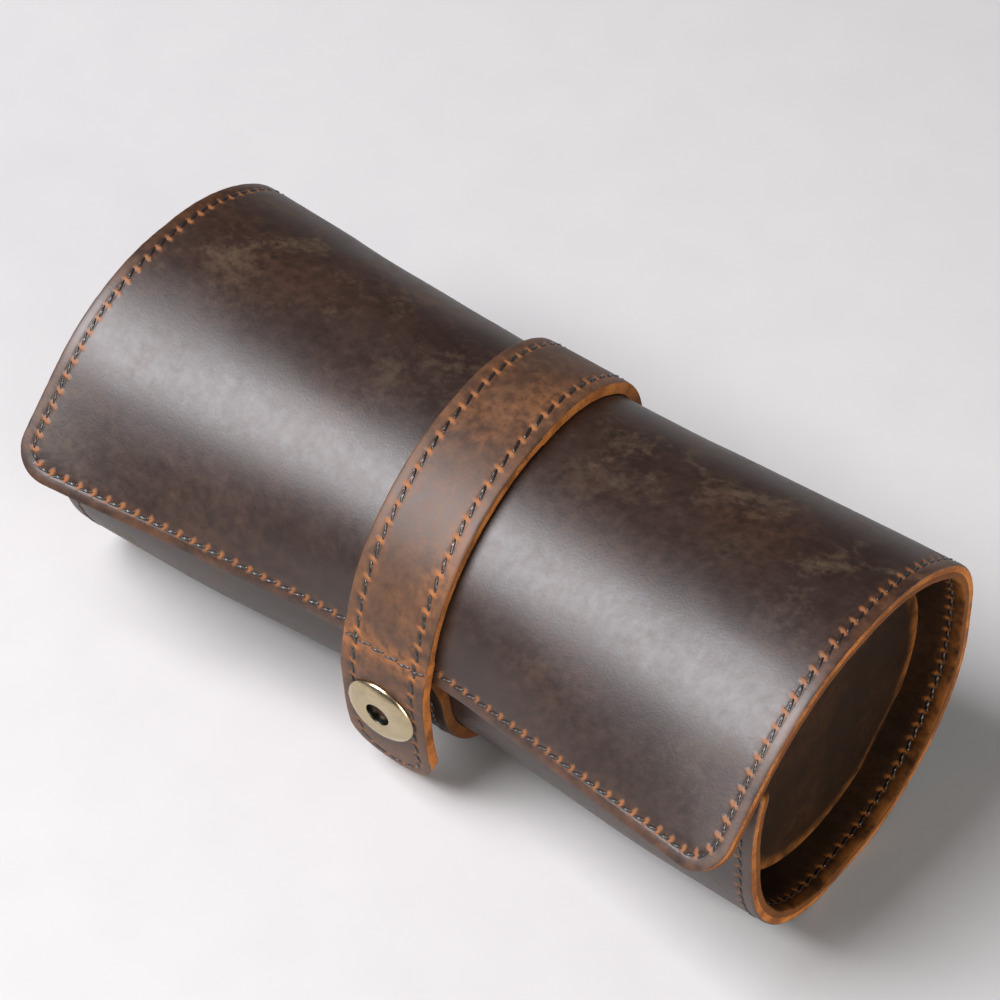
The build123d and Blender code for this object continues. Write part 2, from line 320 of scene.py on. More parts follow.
@lru_cache(maxsize=None)
def strap_spot(run):
    """The strap's inner face at a run length: past the lip it follows the tab."""
    if run < 0:
        index, share = placed(body_steps(WAIST), -run)
        if run < stud_place:
            y, z, *inward = spot(down_lines[0][steps_to_stud - 1], 1)
            heading = -90 - sum(turn for _, turn in body_steps(WAIST)[:steps_to_stud])
            y, z = moved((y, z), heading, stud_place - run)
            return (y, z, *inward)
        return spot(down_lines[0][index], share)
    if run <= strap_lip:
        index, share = placed(flap_steps(WAIST), run)
        return spot(up_lines[0][index], share, leather)
    index, share = placed(TAB_STEPS, run - strap_lip)
    return spot(tab_line[index], share)


# Places beside x whose mean eases a turn of the sheet
soft_turn = [-0.007, -0.0035, 0.0, 0.0035, 0.007]


@lru_cache(maxsize=None)
def station_shares(x):
    """How much the waist, the foot line and the end count at x, eased where the sheet turns."""
    shares = [0.0, 0.0, 0.0]
    for spread in soft_turn:
        reach = max(abs(x) + spread, waist_half)
        if reach > foot_start:
            part = (reach - foot_start) / (half - foot_start)
            shares[1] += 1 - part
            shares[2] += part
        else:
            part = (reach - waist_half) / (foot_start - waist_half)
            shares[0] += 1 - part
            shares[1] += part
    return [share / len(soft_turn) for share in shares]


def eased(value, low, high):
    """A smooth step from 0 at low to 1 at high."""
    part = min(max((value - low) / (high - low), 0.0), 1.0)
    return part * part * (3 - 2 * part)


# How deep worn leather dents for a wave of height one
dent_depth = 0.0003


def dent(x, run):
    """How far worn leather sinks at a place of the flap and the back."""
    swell = sin(61 * x + 43 * run + 0.4) * sin(97 * run - 29 * x + 1.1)
    swell += 0.6 * sin(143 * x - 71 * run + 2.0) * sin(55 * x + 120 * run)
    away = eased(abs(x), 0.018, 0.036) * eased(half - abs(x), 0.0, 0.012)
    return dent_depth * max(swell, 0.0) * away * eased(run, -0.060, -0.030)


def sheet_point(x, run, depth):
    """A place in the wound sheet, at a depth from its outer face."""
    depth += dent(x, run)
    y = z = 0.0
    for share, (py, pz, ny, nz) in zip(station_shares(x), sheet_spots(run)):
        y += share * (py + depth * ny)
        z += share * (pz + depth * nz)
    return Vector((x, y + shift, max(z, 0.0)))


def strap_point(offset, run, depth):
    """A place in the strap, at a depth from its inner face, which is below zero outwards."""
    y, z, inward_y, inward_z = strap_spot(run)
    y += depth * inward_y
    z += depth * inward_z
    x = strap_shift - y * tan(radians(strap_skew)) + offset
    return Vector((x, y + shift, z))


# Sizes and colours that a user would change


def colour(name, description, value):
    """A colour property."""
    return FloatVectorProperty(
        name=name, description=description, default=value, size=3, min=0, max=1, subtype="COLOR"
    )


def size(name, description, value):
    """A length property."""
    return FloatProperty(
        name=name, description=description, default=value, min=0, unit="LENGTH", precision=4
    )


class WatchCaseSizes(bpy.types.PropertyGroup):
    """Sizes of the finer work on the watch case."""

    mesh_step: size("Mesh step", "Width of a face of the leather sheets", 0.0016)
    strap_step: size("Strap step", "Width of a face of the strap", 0.0012)
    edge_round: size("Edge round", "How far a cut leather edge is worn round", 0.0004)
    seam_inset: size("Seam inset", "From the sheet's edge to its stitches", 0.0031)
    seam_pitch: size("Seam pitch", "From stitch to stitch on the sheet", 0.0036)
    strap_inset: size("Strap seam inset", "From the strap's edge to its stitches", 0.0033)
    strap_pitch: size("Strap seam pitch", "From stitch to stitch on the strap", 0.0044)
    thread: size("Thread", "Width of the sheet's sewing thread", 0.00066)
    strap_thread: size("Strap thread", "Width of the strap's sewing thread", 0.00080)


class WatchCaseColours(bpy.types.PropertyGroup):
    """Colours of the watch case's materials."""

    leather: colour("Leather", "Dark waxed leather", (0.0175, 0.0070, 0.0042))
    leather_light: colour("Pulled leather", "Where its wax is pulled", (0.036, 0.0165, 0.0095))
    scuff: colour("Scuff", "Scuffed leather", (0.125, 0.080, 0.038))
    strap: colour("Strap", "The strap's leather", (0.051, 0.0240, 0.0135))
    strap_light: colour("Pulled strap", "The strap where it bends", (0.112, 0.052, 0.025))
    edge: colour("Cut edge", "Bare fibres at a cut edge", (0.60, 0.205, 0.042))
    edge_dark: colour("Dark cut edge", "Handled fibres at a cut edge", (0.25, 0.080, 0.018))
    lining: colour("Lining", "The lining's leather", (0.0185, 0.0088, 0.0042))
    cushion: colour("Cushion", "The cushions' leather", (0.075, 0.040, 0.022))
    thread: colour("Thread", "Waxed sewing thread", (0.010, 0.007, 0.006))
    brass: colour("Brass", "Antique brass", (0.53, 0.43, 0.27))
    # Dark grey metal for the cap's bore, its darkness partly painted shade of the deep hole
    tarnish: colour("Tarnish", "Metal in the cap's bore", (0.055, 0.054, 0.048))
    steel: colour("Steel", "Spring steel", (0.50, 0.50, 0.50))


# Shader graphs


class Signal:
    """A socket that Python's operators work on, each as one Math node."""

    def __init__(self, graph, socket):
        self.graph = graph
        self.socket = socket

    def maths(self, operation, *values):
        """A Math node on these values."""
        sockets = dict(enumerate(values))
        return self.graph.node("ShaderNodeMath", {"operation": operation}, sockets)

    def alone(self, operation):
        """A Math node that works on this signal only."""
        return self.maths(operation, self)

    def __add__(self, other):
        return self.maths("ADD", self, other)

    def __radd__(self, other):
        return self.maths("ADD", other, self)

    def __sub__(self, other):
        return self.maths("SUBTRACT", self, other)

    def __rsub__(self, other):
        return self.maths("SUBTRACT", other, self)

    def __mul__(self, other):
        return self.maths("MULTIPLY", self, other)

    def __rmul__(self, other):
        return self.maths("MULTIPLY", other, self)

    def __truediv__(self, other):
        return self.maths("DIVIDE", self, other)

    def __rtruediv__(self, other):
        return self.maths("DIVIDE", other, self)

    def __pow__(self, other):
        return self.maths("POWER", self, other)


class Graph:
    """A material and the nodes that give it its looks."""

    def __init__(self, name):
        self.material = bpy.data.materials.new(name)
        self.material.use_nodes = True
        self.tree = self.material.node_tree
        self.tree.nodes.clear()
        self.shader = self.tree.nodes.new("ShaderNodeBsdfPrincipled")
        output = self.tree.nodes.new("ShaderNodeOutputMaterial")
        self.tree.links.new(self.shader.outputs[0], output.inputs["Surface"])

    def feed(self, socket, value):
        """Links a signal to a socket or sets its value."""
        if isinstance(value, Signal):
            self.tree.links.new(value.socket, socket)
        else:
            socket.default_value = value

    def node(self, kind, settings, sockets, output=0):
        """A node of a type with its settings and the values or links of its sockets."""
        made = self.tree.nodes.new(kind)
        for key, value in settings.items():
            setattr(made, key, value)
        for key, value in sockets.items():
            self.feed(made.inputs[key], value)
        return Signal(self, made.outputs[output])

    def principled(self, **values):
        """Feeds the shader's sockets, named with underscores for spaces."""
        for key, value in values.items():
            name = key.replace("_", " ").title().replace("Ior", "IOR")
            self.feed(self.shader.inputs[name], value)

    def laid(self, scale=(1, 1, 1), turn=0.0):
        """The flat place on the leather, scaled and turned."""
        flat = self.node("ShaderNodeUVMap", {"uv_map": "surface"}, {})
        return self.mapped(flat, scale, turn)

    def place(self, scale=(1, 1, 1)):
        """The place in the object, scaled."""
        coordinates = self.node("ShaderNodeTexCoord", {}, {}, "Object")
        return self.mapped(coordinates, scale, 0.0)

    def mapped(self, vector, scale, turn):
        """A place scaled and turned."""
        sockets = {"Vector": vector, "Scale": scale, "Rotation": (0, 0, turn)}
        return self.node("ShaderNodeMapping", {}, sockets)

    def noise(self, vector, scale, detail=3.0, roughness=0.5, distortion=0.0):
        """A cloudy pattern from 0 to 1."""
        sockets = {"Vector": vector, "Scale": scale, "Detail": detail}
        sockets.update(Roughness=roughness, Distortion=distortion)
        return self.node("ShaderNodeTexNoise", {}, sockets)

    def cells(self, vector, scale):
        """The distance to the nearest of scattered points."""
        return self.node("ShaderNodeTexVoronoi", {}, {"Vector": vector, "Scale": scale})

    def step(self, value, low, high):
        """A smooth step from 0 at low to 1 at high."""
        sockets = {"Value": value, "From Min": low, "From Max": high}
        return self.node("ShaderNodeMapRange", {"interpolation_type": "SMOOTHSTEP"}, sockets)

    def blend(self, share, first, second):
        """A colour between two colours."""
        one = (*first, 1) if isinstance(first, tuple) else first
        two = (*second, 1) if isinstance(second, tuple) else second
        settings = {"data_type": "RGBA"}
        return self.node("ShaderNodeMix", settings, {0: share, 6: one, 7: two}, 2)

    def attribute(self, name):
        """A number that the mesh holds at each point."""
        return self.node("ShaderNodeAttribute", {"attribute_name": name}, {}, "Fac")

    def split(self, vector):
        """The first two numbers of a vector."""
        return [self.node("ShaderNodeSeparateXYZ", {}, {0: vector}, index) for index in (0, 1)]

    def bump(self, height, distance, strength=1.0):
        """A surface whose normal follows a height."""
        sockets = {"Height": height, "Distance": distance, "Strength": strength}
        return self.node("ShaderNodeBump", {}, sockets)


def toned(base, factor):
    """A colour made lighter or darker."""
    return tuple(factor * part for part in base)


def seam_masks(graph, pitch, inside):
    """How strongly the pulled leather at a needle hole and the sewn groove show."""
    along, off = graph.split(graph.node("ShaderNodeUVMap", {"uv_map": "seam"}, {}))
    pulled = graph.noise(graph.laid(), 620, 3, 0.6)
    beside = off - inside
    slanted = along / pitch + beside * (0.25 / pitch) + 0.5
    gap = (slanted.alone("FRACT") - 0.5) * pitch
    spread = ((gap / 0.00064) ** 2 + (beside / 0.00105) ** 2) ** 0.5
    mark = graph.step(spread + (pulled - 0.5) * 1.3, 1.55, 0.25)
    off = off.alone("ABSOLUTE")
    return mark, graph.step(off, 0.0010, 0.0002), off


def worn_leather(name, tones, looks):
    """Waxed leather: cloudy tone, pores, scratches, scuffs, worn edges, needle holes and painted shade far
    down its run.
    """
    deep, light, scuff, edge = tones
    graph = Graph(name)
    flat = graph.laid()
    clouds = graph.noise(flat, 19, 4, 0.55)
    fine = graph.noise(flat, 150, 5, 0.6)
    mottle = graph.noise(flat, 430, 4, 0.62)
    grain = graph.noise(flat, 1500, 4, 0.6)
    pores = graph.cells(flat, 1700)
    marks = graph.noise(flat, 60, 9, 0.68, 0.5)
    mark, groove, off = seam_masks(graph, looks["pitch"], looks["inside"])
    reach = graph.attribute("edge")
    crease = graph.attribute("crease")
    side, run = graph.split(flat)
    side = side.alone("ABSOLUTE")

    tint = graph.step(clouds * 0.45 + fine * 0.30 + mottle * 0.25, 0.40, 0.66)
    base = graph.blend(tint, deep, light)
    top = graph.step(run, 0.062, 0.036)
    ends = graph.step(side, 0.060, 0.086)
    rubbed = looks["scuffed"] * (0.10 + 0.90 * (top * 0.7 + ends * 0.3))
    scuffs = graph.step(marks + (mottle - 0.5) * 0.35, 0.49, 0.72) * rubbed
    base = graph.blend(scuffs * 0.60, base, scuff)
    scored = graph.noise(graph.laid((900, 26, 1), radians(7)), 1, 2, 0.5)
    scratches = graph.step(scored, 0.70, 0.77) * graph.step(clouds, 0.50, 0.62)
    base = graph.blend(scratches * 0.14, base, scuff)
    warm = graph.step(graph.noise(flat, 34, 6, 0.6), 0.44, 0.66) * graph.step(mottle, 0.30, 0.64)
    base = graph.blend(warm * looks["warm"], base, edge)
    handled = graph.step(reach, 0.0042, 0.0002) * graph.step(fine, 0.30, 0.66)
    base = graph.blend(handled * looks["handled"], base, edge)
    stained = graph.step(off, 0.0034, 0.0004) * graph.step(mottle, 0.34, 0.70)
    base = graph.blend(stained * looks["stained"], base, edge)
    pulled = graph.step(crease, 0.0050, 0.0004) * graph.step(mottle, 0.26, 0.62)
    base = graph.blend(pulled * 0.26, base, edge)
    # Painted shade: darker far down the run, under the tab where the strap lies in shade
    painted_shade_low = graph.step(run, -0.074, -0.088) * looks["painted_shade_low"]
    base = graph.blend(painted_shade_low, base, toned(deep, 0.4))
    base = graph.blend(mark * 0.40, base, edge)

    height = grain * 0.16 + pores * 0.12 + mottle * 0.10 - scratches * 0.20
    height = height - groove * 1.0 + mark * 1.2
    height = height - graph.step(crease, 0.0010, 0.0) * 2.0
    roughness = looks["rough"] + (fine - 0.5) * 0.10 + (mottle - 0.5) * 0.14
    roughness = roughness + scuffs * 0.20 + mark * 0.2
    bump = graph.bump(height, 0.00014, 0.55)
    graph.principled(base_color=base, roughness=roughness, normal=bump)
    graph.principled(specular_ior_level=looks["shine"])
    return graph.material


def cut_edge(name, bright, dark, shaded_low=False):
    """The bare, rubbed fibres of a cut leather edge; one shaded low is darkened low on the roll as painted
    shade.
    """
    graph = Graph(name)
    place = graph.place()
    clouds = graph.noise(place, 110, 4, 0.6)
    fibres = graph.noise(place, 1300, 5, 0.7)
    share = graph.step(clouds * 0.65 + fibres * 0.35, 0.38, 0.60)
    base = graph.blend(share, dark, bright)
    base = graph.blend(graph.step(fibres, 0.56, 0.72) * 0.6, base, dark)
    if shaded_low:
        # Painted shade: the edge darkens to a near-black brown low on the roll
        height = graph.node("ShaderNodeSeparateXYZ", {}, {0: place}, 2)
        low = graph.step(height, 0.074, 0.048) * 0.66
        base = graph.blend(low, base, (0.030, 0.010, 0.0022))
    bump = graph.bump(fibres + clouds * 0.4, 0.00045, 1.0)
    graph.principled(base_color=base, roughness=0.66 + fibres * 0.25, normal=bump)
    graph.principled(specular_ior_level=0.22)
    return graph.material


def waxed_thread(name, base):
    """Twisted, waxed sewing thread, lighter on the twist's crests as a painted glint."""
    graph = Graph(name)
    along, around = graph.split(graph.node("ShaderNodeUVMap", {"uv_map": "UVMap"}, {}))
    lay = ((along + around) * 25.0).alone("SINE")
    fuzz = graph.noise(graph.place(), 1800, 3, 0.6)
    # Painted glint: the thread's colour is lighter where the twist's crests rise
    lighter = tuple(min(part * 1.7 + 0.004, 1) for part in base)
    mixed_tone = graph.blend(graph.step(lay + fuzz, 0.0, 1.4), base, lighter)
    bump = graph.bump(lay * 0.5 + fuzz, 0.00012, 0.7)
    graph.principled(base_color=mixed_tone, roughness=0.22 + fuzz * 0.22, normal=bump)
    graph.principled(specular_ior_level=0.95)
    return graph.material


def aged_metal(name, base, rough, dull):
    """Brushed metal, dulled darker by age in cloudy patches."""
    graph = Graph(name)
    place = graph.place()
    clouds = graph.noise(place, 240, 4, 0.6)
    brushed = graph.noise(graph.place((1, 0.12, 1)), 5200, 2, 0.5)
    base_tone = graph.blend(graph.step(clouds, 0.42, 0.72) * dull, base, toned(base, 0.55))
    base_tone = graph.blend(brushed * 0.20, base_tone, toned(base, 0.75))
    roughness = rough + (clouds - 0.5) * 0.16 + (brushed - 0.5) * 0.14
    bump = graph.bump(brushed * 0.6 + clouds, 0.00003, 0.5)
    graph.principled(base_color=base_tone, metallic=1.0, roughness=roughness, normal=bump)
    return graph.material


@lru_cache(maxsize=None)
def finishes():
    """Every material, made once from the colours that the user sets."""
    settings = bpy.context.scene.watch_case_colours
    tones = {key: tuple(getattr(settings, key)) for key in WatchCaseColours.__annotations__}
    sizes = bpy.context.scene.watch_case_sizes
    edge, edge_dark, scuff = tones["edge"], tones["edge_dark"], tones["scuff"]
    lining, cushion = tones["lining"], tones["cushion"]
    # The last key of each sets how strongly painted shade darkens the leather far down its run
    sheet = {"pitch": sizes.seam_pitch, "inside": 0.0004, "warm": 0.02, "painted_shade_low": 0.0}
    band = {"pitch": sizes.strap_pitch, "inside": 0.0, "warm": 0.17, "painted_shade_low": 0.85}
    waxed = {**sheet, "rough": 0.44, "shine": 0.72, "scuffed": 1.0}
    worn = {**band, "rough": 0.52, "shine": 0.52, "scuffed": 0.9}
    matt = {**sheet, "rough": 0.78, "shine": 0.10, "scuffed": 0.4}
    soft = {**band, "rough": 0.55, "shine": 0.45, "scuffed": 0.3}
    return {
        "outer": worn_leather(
            "outer_leather_waxed",
            (tones["leather"], tones["leather_light"], scuff, edge),
            {**waxed, "handled": 0.08, "stained": 0.04},
        ),
        "strap": worn_leather(
            "strap_leather_waxed",
            (tones["strap"], tones["strap_light"], scuff, edge),
            {**worn, "handled": 0.06, "stained": 0.08},
        ),
        "lining": worn_leather(
            "lining_leather_matt",
            (lining, toned(lining, 1.7), tones["strap"], edge),
            {**matt, "handled": 0.40, "stained": 0.06},
        ),
        "cushion": worn_leather(
            "cushion_leather_soft",
            (cushion, toned(cushion, 1.4), tones["strap_light"], edge),
            {**soft, "handled": 0.0, "stained": 0.0},
        ),
        "edge": cut_edge("cut_leather_edge", edge, edge_dark),
        "dark edge": cut_edge("cut_lining_edge", toned(edge, 0.34), toned(edge_dark, 0.6)),
        # The strap's cut edge, darkened low on the roll as painted shade
        "edge with painted shade": cut_edge("cut_strap_edge", edge, edge_dark, shaded_low=True),
        "thread": waxed_thread("waxed_thread", tones["thread"]),
        "brass": aged_metal("antique_brass", tones["brass"], 0.27, 0.35),
        # The bore's dark grey metal, partly painted shade of the deep hole
        "tarnish": aged_metal("tarnished_bore", tones["tarnish"], 0.34, 0.5),
        "steel": aged_metal("spring_steel", tones["steel"], 0.30, 0.2),
    }


# Rows of stitches

# A stitch's direction is taken this share of its pitch to each side of its middle
stitch_reach = 0.3
# How far a stitch leans across its row, how deep it sinks and how much of its pitch it covers
stitch_slant = 0.20
stitch_sink = 0.00014
sheet_cover = 0.86
strap_cover = 0.84


class Row:
    """A row of stitches along a flat path on a sheet, evenly spaced on the real surface."""

    def __init__(self, path, solid, depth, pitch):
        self.path = path
        self.solid = solid
        self.tree = KDTree(len(path))
        self.lengths = [0.0]
        last = None
        for index, (a, run) in enumerate(path):
            self.tree.insert((a, run, 0), index)
            here = solid(a, run, depth)
            if last is not None:
                self.lengths.append(self.lengths[-1] + (here - last).length)
            last = here
        self.tree.balance()
        self.count = max(round(self.lengths[-1] / pitch), 1)
        self.pitch = pitch
        self.real_pitch = self.lengths[-1] / self.count

    def seam(self, a, run):
        """The length along the row and the distance beside it of a flat place."""
        index = self.tree.find((a, run, 0))[1]
        best = None
        for first in (index - 1, index):
            if 0 <= first < len(self.path) - 1:
                start = Vector(self.path[first])
                way = Vector(self.path[first + 1]) - start
                step = Vector((a, run)) - start
                share = min(max(step.dot(way) / way.length_squared, 0), 1)
                off = step - share * way
                side = 1 if way.x * step.y - way.y * step.x > 0 else -1
                along = self.lengths[first] * (1 - share) + self.lengths[first + 1] * share
                if best is None or off.length < abs(best[1]):
                    best = (along * self.pitch / self.real_pitch, side * off.length)
        return best

    def flat_at(self, length):
        """The flat place at a length along the row."""
        low = min(max(bisect_right(self.lengths, length) - 1, 0), len(self.lengths) - 2)
        share = (length - self.lengths[low]) / (self.lengths[low + 1] - self.lengths[low])
        return Vector(self.path[low]).lerp(Vector(self.path[low + 1]), share)

    def stitches(self, depth, outward):
        """Each stitch's flat place and its placing on a face, outside or inside."""
        sign = 1 if outward else -1
        for number in range(self.count):
            centre = (number + 0.5) * self.real_pitch
            a, run = self.flat_at(centre)
            reach = stitch_reach * self.real_pitch
            before = self.solid(*self.flat_at(centre - reach), depth)
            after = self.solid(*self.flat_at(centre + reach), depth)
            along = (after - before).normalized()
            up = self.solid(a, run, depth - 0.001) - self.solid(a, run, depth + 0.001)
            up = (sign * up).normalized()
            beside = up.cross(along).normalized()
            up = along.cross(beside)
            tilted = (along + stitch_slant * beside).normalized()
            beside = up.cross(tilted)
            turn = Matrix((tilted, beside, up)).transposed().to_4x4()
            yield (a, run), Matrix.Translation(self.solid(a, run, depth)) @ turn


def rounded_path(low_a, high_a, low_run, high_run, low_corner, high_corner, step=0.0006):
    """A closed flat path round a rectangle with rounded corners, from its low edge's middle."""
    corners = [
        ((high_a - low_corner, low_run + low_corner), low_corner, -90),
        ((high_a - high_corner, high_run - high_corner), high_corner, 0),
        ((low_a + high_corner, high_run - high_corner), high_corner, 90),
        ((low_a + low_corner, low_run + low_corner), low_corner, 180),
    ]
    points = [((low_a + high_a) / 2, low_run)]
    for centre, radius, start in corners:
        arc_steps = max(ceil(radius * pi / 2 / step), 2)
        for number in range(arc_steps + 1):
            end = moved(centre, start + 90 * number / arc_steps, radius)
            fill_to(points, end, step)
    fill_to(points, points[0], step)
    return points


def fill_to(points, end, step):
    """Adds evenly spaced points from the last one to an end."""
    last = points[-1]
    gap = hypot(end[0] - last[0], end[1] - last[1])
    if gap < 1e-7:
        return
    count = max(ceil(gap / step), 1)
    for number in range(1, count + 1):
        share = number / count
        points.append(tuple(p + share * (q - p) for p, q in zip(last, end)))


def sheet_row():
    """The row of stitches all round the wound sheet."""
    sizes = bpy.context.scene.watch_case_sizes
    inset = sizes.seam_inset
    path = rounded_path(
        -half + inset, half - inset, sheet_tip + inset, sheet_lip - inset,
        0.001, lip_corner - inset,
    )
    return Row(path, sheet_point, 0.0, sizes.seam_pitch)


def strap_row():
    """The row of stitches all round the strap."""
    sizes = bpy.context.scene.watch_case_sizes
    inset = sizes.strap_inset
    reach = across / 2 - inset
    path = rounded_path(-reach, reach, counter_tip + inset, strap_tip - inset, reach, reach)
    return Row(path, strap_point, -strap, sizes.strap_pitch)


def sewn_line():
    """The run length on the strap where the lip's stitches pass through it."""
    return strap_lip - bpy.context.scene.watch_case_sizes.seam_inset


def cross_row():
    """The lip's stitches where they pass over the strap."""
    pitch = bpy.context.scene.watch_case_sizes.seam_pitch
    margin = 0.0006
    reach = across / 2 - margin
    points = [(reach, sewn_line())]
    fill_to(points, (-reach, sewn_line()), margin)
    return Row(points, strap_point, -strap, pitch)


# Modelling


def only(obj):
    """Selects one object and makes it active."""
    bpy.ops.object.select_all(action="DESELECT")
    obj.select_set(True)
    bpy.context.view_layer.objects.active = obj


def added(name):
    """The primitive that was just added, named."""
    obj = bpy.context.object
    obj.name = name
    obj.data.name = name
    return obj


def settled(obj):
    """Puts an object's place into its mesh."""
    only(obj)
    bpy.ops.object.transform_apply(location=True, rotation=True, scale=True)
    return obj


def smoothed(obj, angle=42):
    """Shades an object smooth, with its sharp edges kept."""
    only(obj)
    bpy.ops.object.shade_smooth_by_angle(angle=radians(angle))
    return obj


def applied(obj, kind, **settings):
    """Adds a modifier and applies it."""
    only(obj)
    modifier = obj.modifiers.new(kind.title(), kind)
    for key, value in settings.items():
        setattr(modifier, key, value)
    bpy.ops.object.modifier_apply(modifier=modifier.name)
    return obj


def turned_out(obj):
    """Turns every face of a closed piece outwards."""
    only(obj)
    bpy.ops.object.mode_set(mode="EDIT")
    bpy.ops.mesh.select_all(action="SELECT")
    bpy.ops.mesh.normals_make_consistent(inside=False)
    bpy.ops.object.mode_set(mode="OBJECT")
    return obj


def dressed(obj, *names):
    """Gives an object its materials."""
    obj.data.materials.clear()
    for name in names:
        obj.data.materials.append(finishes()[name])
    return obj


# A distance in metres that stands for no seam, crease or edge nearby
far_off = 1.0


def cornered(a, run, reach, tip, corner, way):
    """Moves a flat place so that both corners at a tip are round; way is 1 or -1 along the run."""
    if corner <= 0:
        return a, run
    beside = (abs(a) - (reach - corner)) / corner
    beyond = (way * (run - tip) + corner) / corner
    if beside <= 0 or beyond <= 0:
        return a, run
    new_beside = beside * sqrt(1 - beyond**2 / 2)
    new_beyond = beyond * sqrt(1 - beside**2 / 2)
    sign = 1 if a > 0 else -1
    return sign * (reach - corner + new_beside * corner), tip + way * (new_beyond - 1) * corner


def edge_distance(a, run, reach, low, high, low_corner, high_corner):
    """How far a flat place is from the nearest cut edge of a rounded strip."""
    corner = high_corner if run > (low + high) / 2 else low_corner
    beside = abs(a) - (reach - corner)
    beyond = max(run - (high - high_corner), (low + low_corner) - run)
    if beside > 0 and beyond > 0:
        return corner - hypot(beside, beyond)
    return min(reach - abs(a), high - run, run - low)


@dataclass
class Strip:
    """A long sheet of leather in its flat state."""

    solid: object
    reach: float
    low: float
    high: float
    low_corner: float = 0.0
    high_corner: float = 0.0
    rows: tuple = ()
    crease: float = 0.0

    def flat(self, u, run):
        """A flat place from a share across the strip and a run length, corners rounded."""
        a = -u * self.reach
        a, run = cornered(a, run, self.reach, self.high, self.high_corner, 1)
        return cornered(a, run, self.reach, self.low, self.low_corner, -1)

    def edge(self, a, run):
        """The distance to the nearest cut edge."""
        return edge_distance(
            a, run, self.reach, self.low, self.high, self.low_corner, self.high_corner
        )

    def seam(self, a, run):
        """The place beside the nearest row of stitches."""
        found = [row.seam(a, run) for row in self.rows]
        return min(found, key=lambda item: abs(item[1])) if found else (0.0, far_off)

    def laid(self, a, run):
        """A flat place without the stretch between sections."""
        return a, run

    def runs(self, start, stop, step, fine):
        """Run lengths of the rows between two."""
        return spaced(start, stop, step, fine and start == self.low, fine and stop == self.high)


class SheetStrip(Strip):
    """The wound sheet, whose sections differ from its waist to its ends."""

    def laid(self, a, run):
        """A flat place with the real length of its own section."""
        lengths = sheet_lengths(run)
        return a, sum(share * length for share, length in zip(station_shares(a), lengths))

    def runs(self, start, stop, step, fine):
        """Rows spaced for the longest section, closer together beside the cut edges."""
        runs = []
        for sign, steps_of in ((-1, body_steps), (1, flap_steps)):
            length = 0.0
            for size in map(length_of, steps_of(END)):
                count = ceil(size / step)
                runs += [sign * (length + size * number / count) for number in range(count)]
                length += size
        inside = near_edge[-1]
        runs = [run for run in runs if self.low + inside < run < self.high - inside]
        runs += [self.low + gap for gap in near_edge] + [self.high - gap for gap in near_edge]
        least_gap = 0.0004
        kept = [start]
        for run in sorted(runs):
            if run - kept[-1] > least_gap and stop - run > least_gap:
                kept.append(run)
        return kept + [stop]


# Distances from a cut edge at which a sheet has its closer rows of points
near_edge = [0.0, 0.0005, 0.0011, 0.0018, 0.0025, 0.0031, 0.0037, 0.0045, 0.0056]


def spaced(low, high, step, fine_low, fine_high):
    """Places between two ends, closer together beside a cut edge."""
    first = [low + gap for gap in near_edge] if fine_low else [low]
    last = [high - gap for gap in reversed(near_edge)] if fine_high else [high]
    count = max(round((last[0] - first[-1]) / step), 1)
    between = [first[-1] + number / count * (last[0] - first[-1]) for number in range(1, count)]
    return first + between + last


def pressed(distance, inset):
    """How far a face sinks beside its cut edge and along its stitches."""
    seam_depth, seam_spread = 0.00020, 0.0009
    edge_depth, edge_spread = 0.00022, 0.0007
    seam = seam_depth * exp(-(((distance - inset) / seam_spread) ** 2))
    return seam + edge_depth * exp(-distance / edge_spread)


def ragged(run, layer, distance):
    """How unevenly a leather edge is cut at a run length, fading out away from the edge."""
    height, fades_out = 0.000022, 0.003
    wave = sin(1130 * run + 3 * layer) + sin(2350 * run + 5 * layer) + 0.5 * sin(310 * run)
    return height * wave * max(1 - distance / fades_out, 0)


def slab(name, strip, ends, depths, step, looks, shown=(True, True), fine=True):
    """A piece of a strip between two run lengths and two depths, with worn cut edges."""
    start, stop = ends
    near, far = depths
    inset = bpy.context.scene.watch_case_sizes.seam_inset
    sides = spaced(-strip.reach, strip.reach, step, fine, fine)
    runs = strip.runs(start, stop, step, fine)
    columns, rows = len(sides) - 1, len(runs) - 1
    bpy.ops.mesh.primitive_grid_add(x_subdivisions=columns, y_subdivisions=rows, size=2)
    obj = added(name)
    mesh = obj.data
    places = []
    for vertex in mesh.vertices:
        column = round((vertex.co.x + 1) / 2 * columns)
        row = round((vertex.co.y + 1) / 2 * rows)
        places.append(strip.flat(sides[column] / strip.reach, runs[row]))
    maps = [mesh.attributes.new(key, "FLOAT", "POINT") for key in ("free", "edge", "crease")]
    seams = []
    inner = []
    for index, (vertex, (a, run)) in enumerate(zip(mesh.vertices, places)):
        distance = max(strip.edge(a, run), 0.0)
        bent = abs(run - strip.crease) if strip.crease else far_off
        for layer, value in zip(maps, (float(distance < 1e-5), distance, bent)):
            layer.data[index].value = value
        seams.append(strip.seam(a, run))
        sunk = pressed(distance, inset) if fine else 0.0
        cut = ragged(run, near, distance) if fine else 0.0
        a += cut if a > 0 else -cut
        vertex.co = strip.solid(a, run, near + (sunk if shown[0] else 0.0))
        inner.append(strip.solid(a, run, far - (sunk if shown[1] else 0.0)))
    surface = mesh.uv_layers[0]
    surface.name = "surface"
    seam = mesh.uv_layers.new(name="seam")
    for loop in mesh.loops:
        surface.data[loop.index].uv = strip.laid(*places[loop.vertex_index])
        seam.data[loop.index].uv = seams[loop.vertex_index]
    count = len(mesh.vertices)
    dressed(obj, *looks)
    applied(obj, "SOLIDIFY", thickness=far - near, offset=-1, material_offset_rim=1)
    for vertex, place in zip(list(mesh.vertices)[count:], inner):
        vertex.co = place
    return round_edges(obj, count, shown)


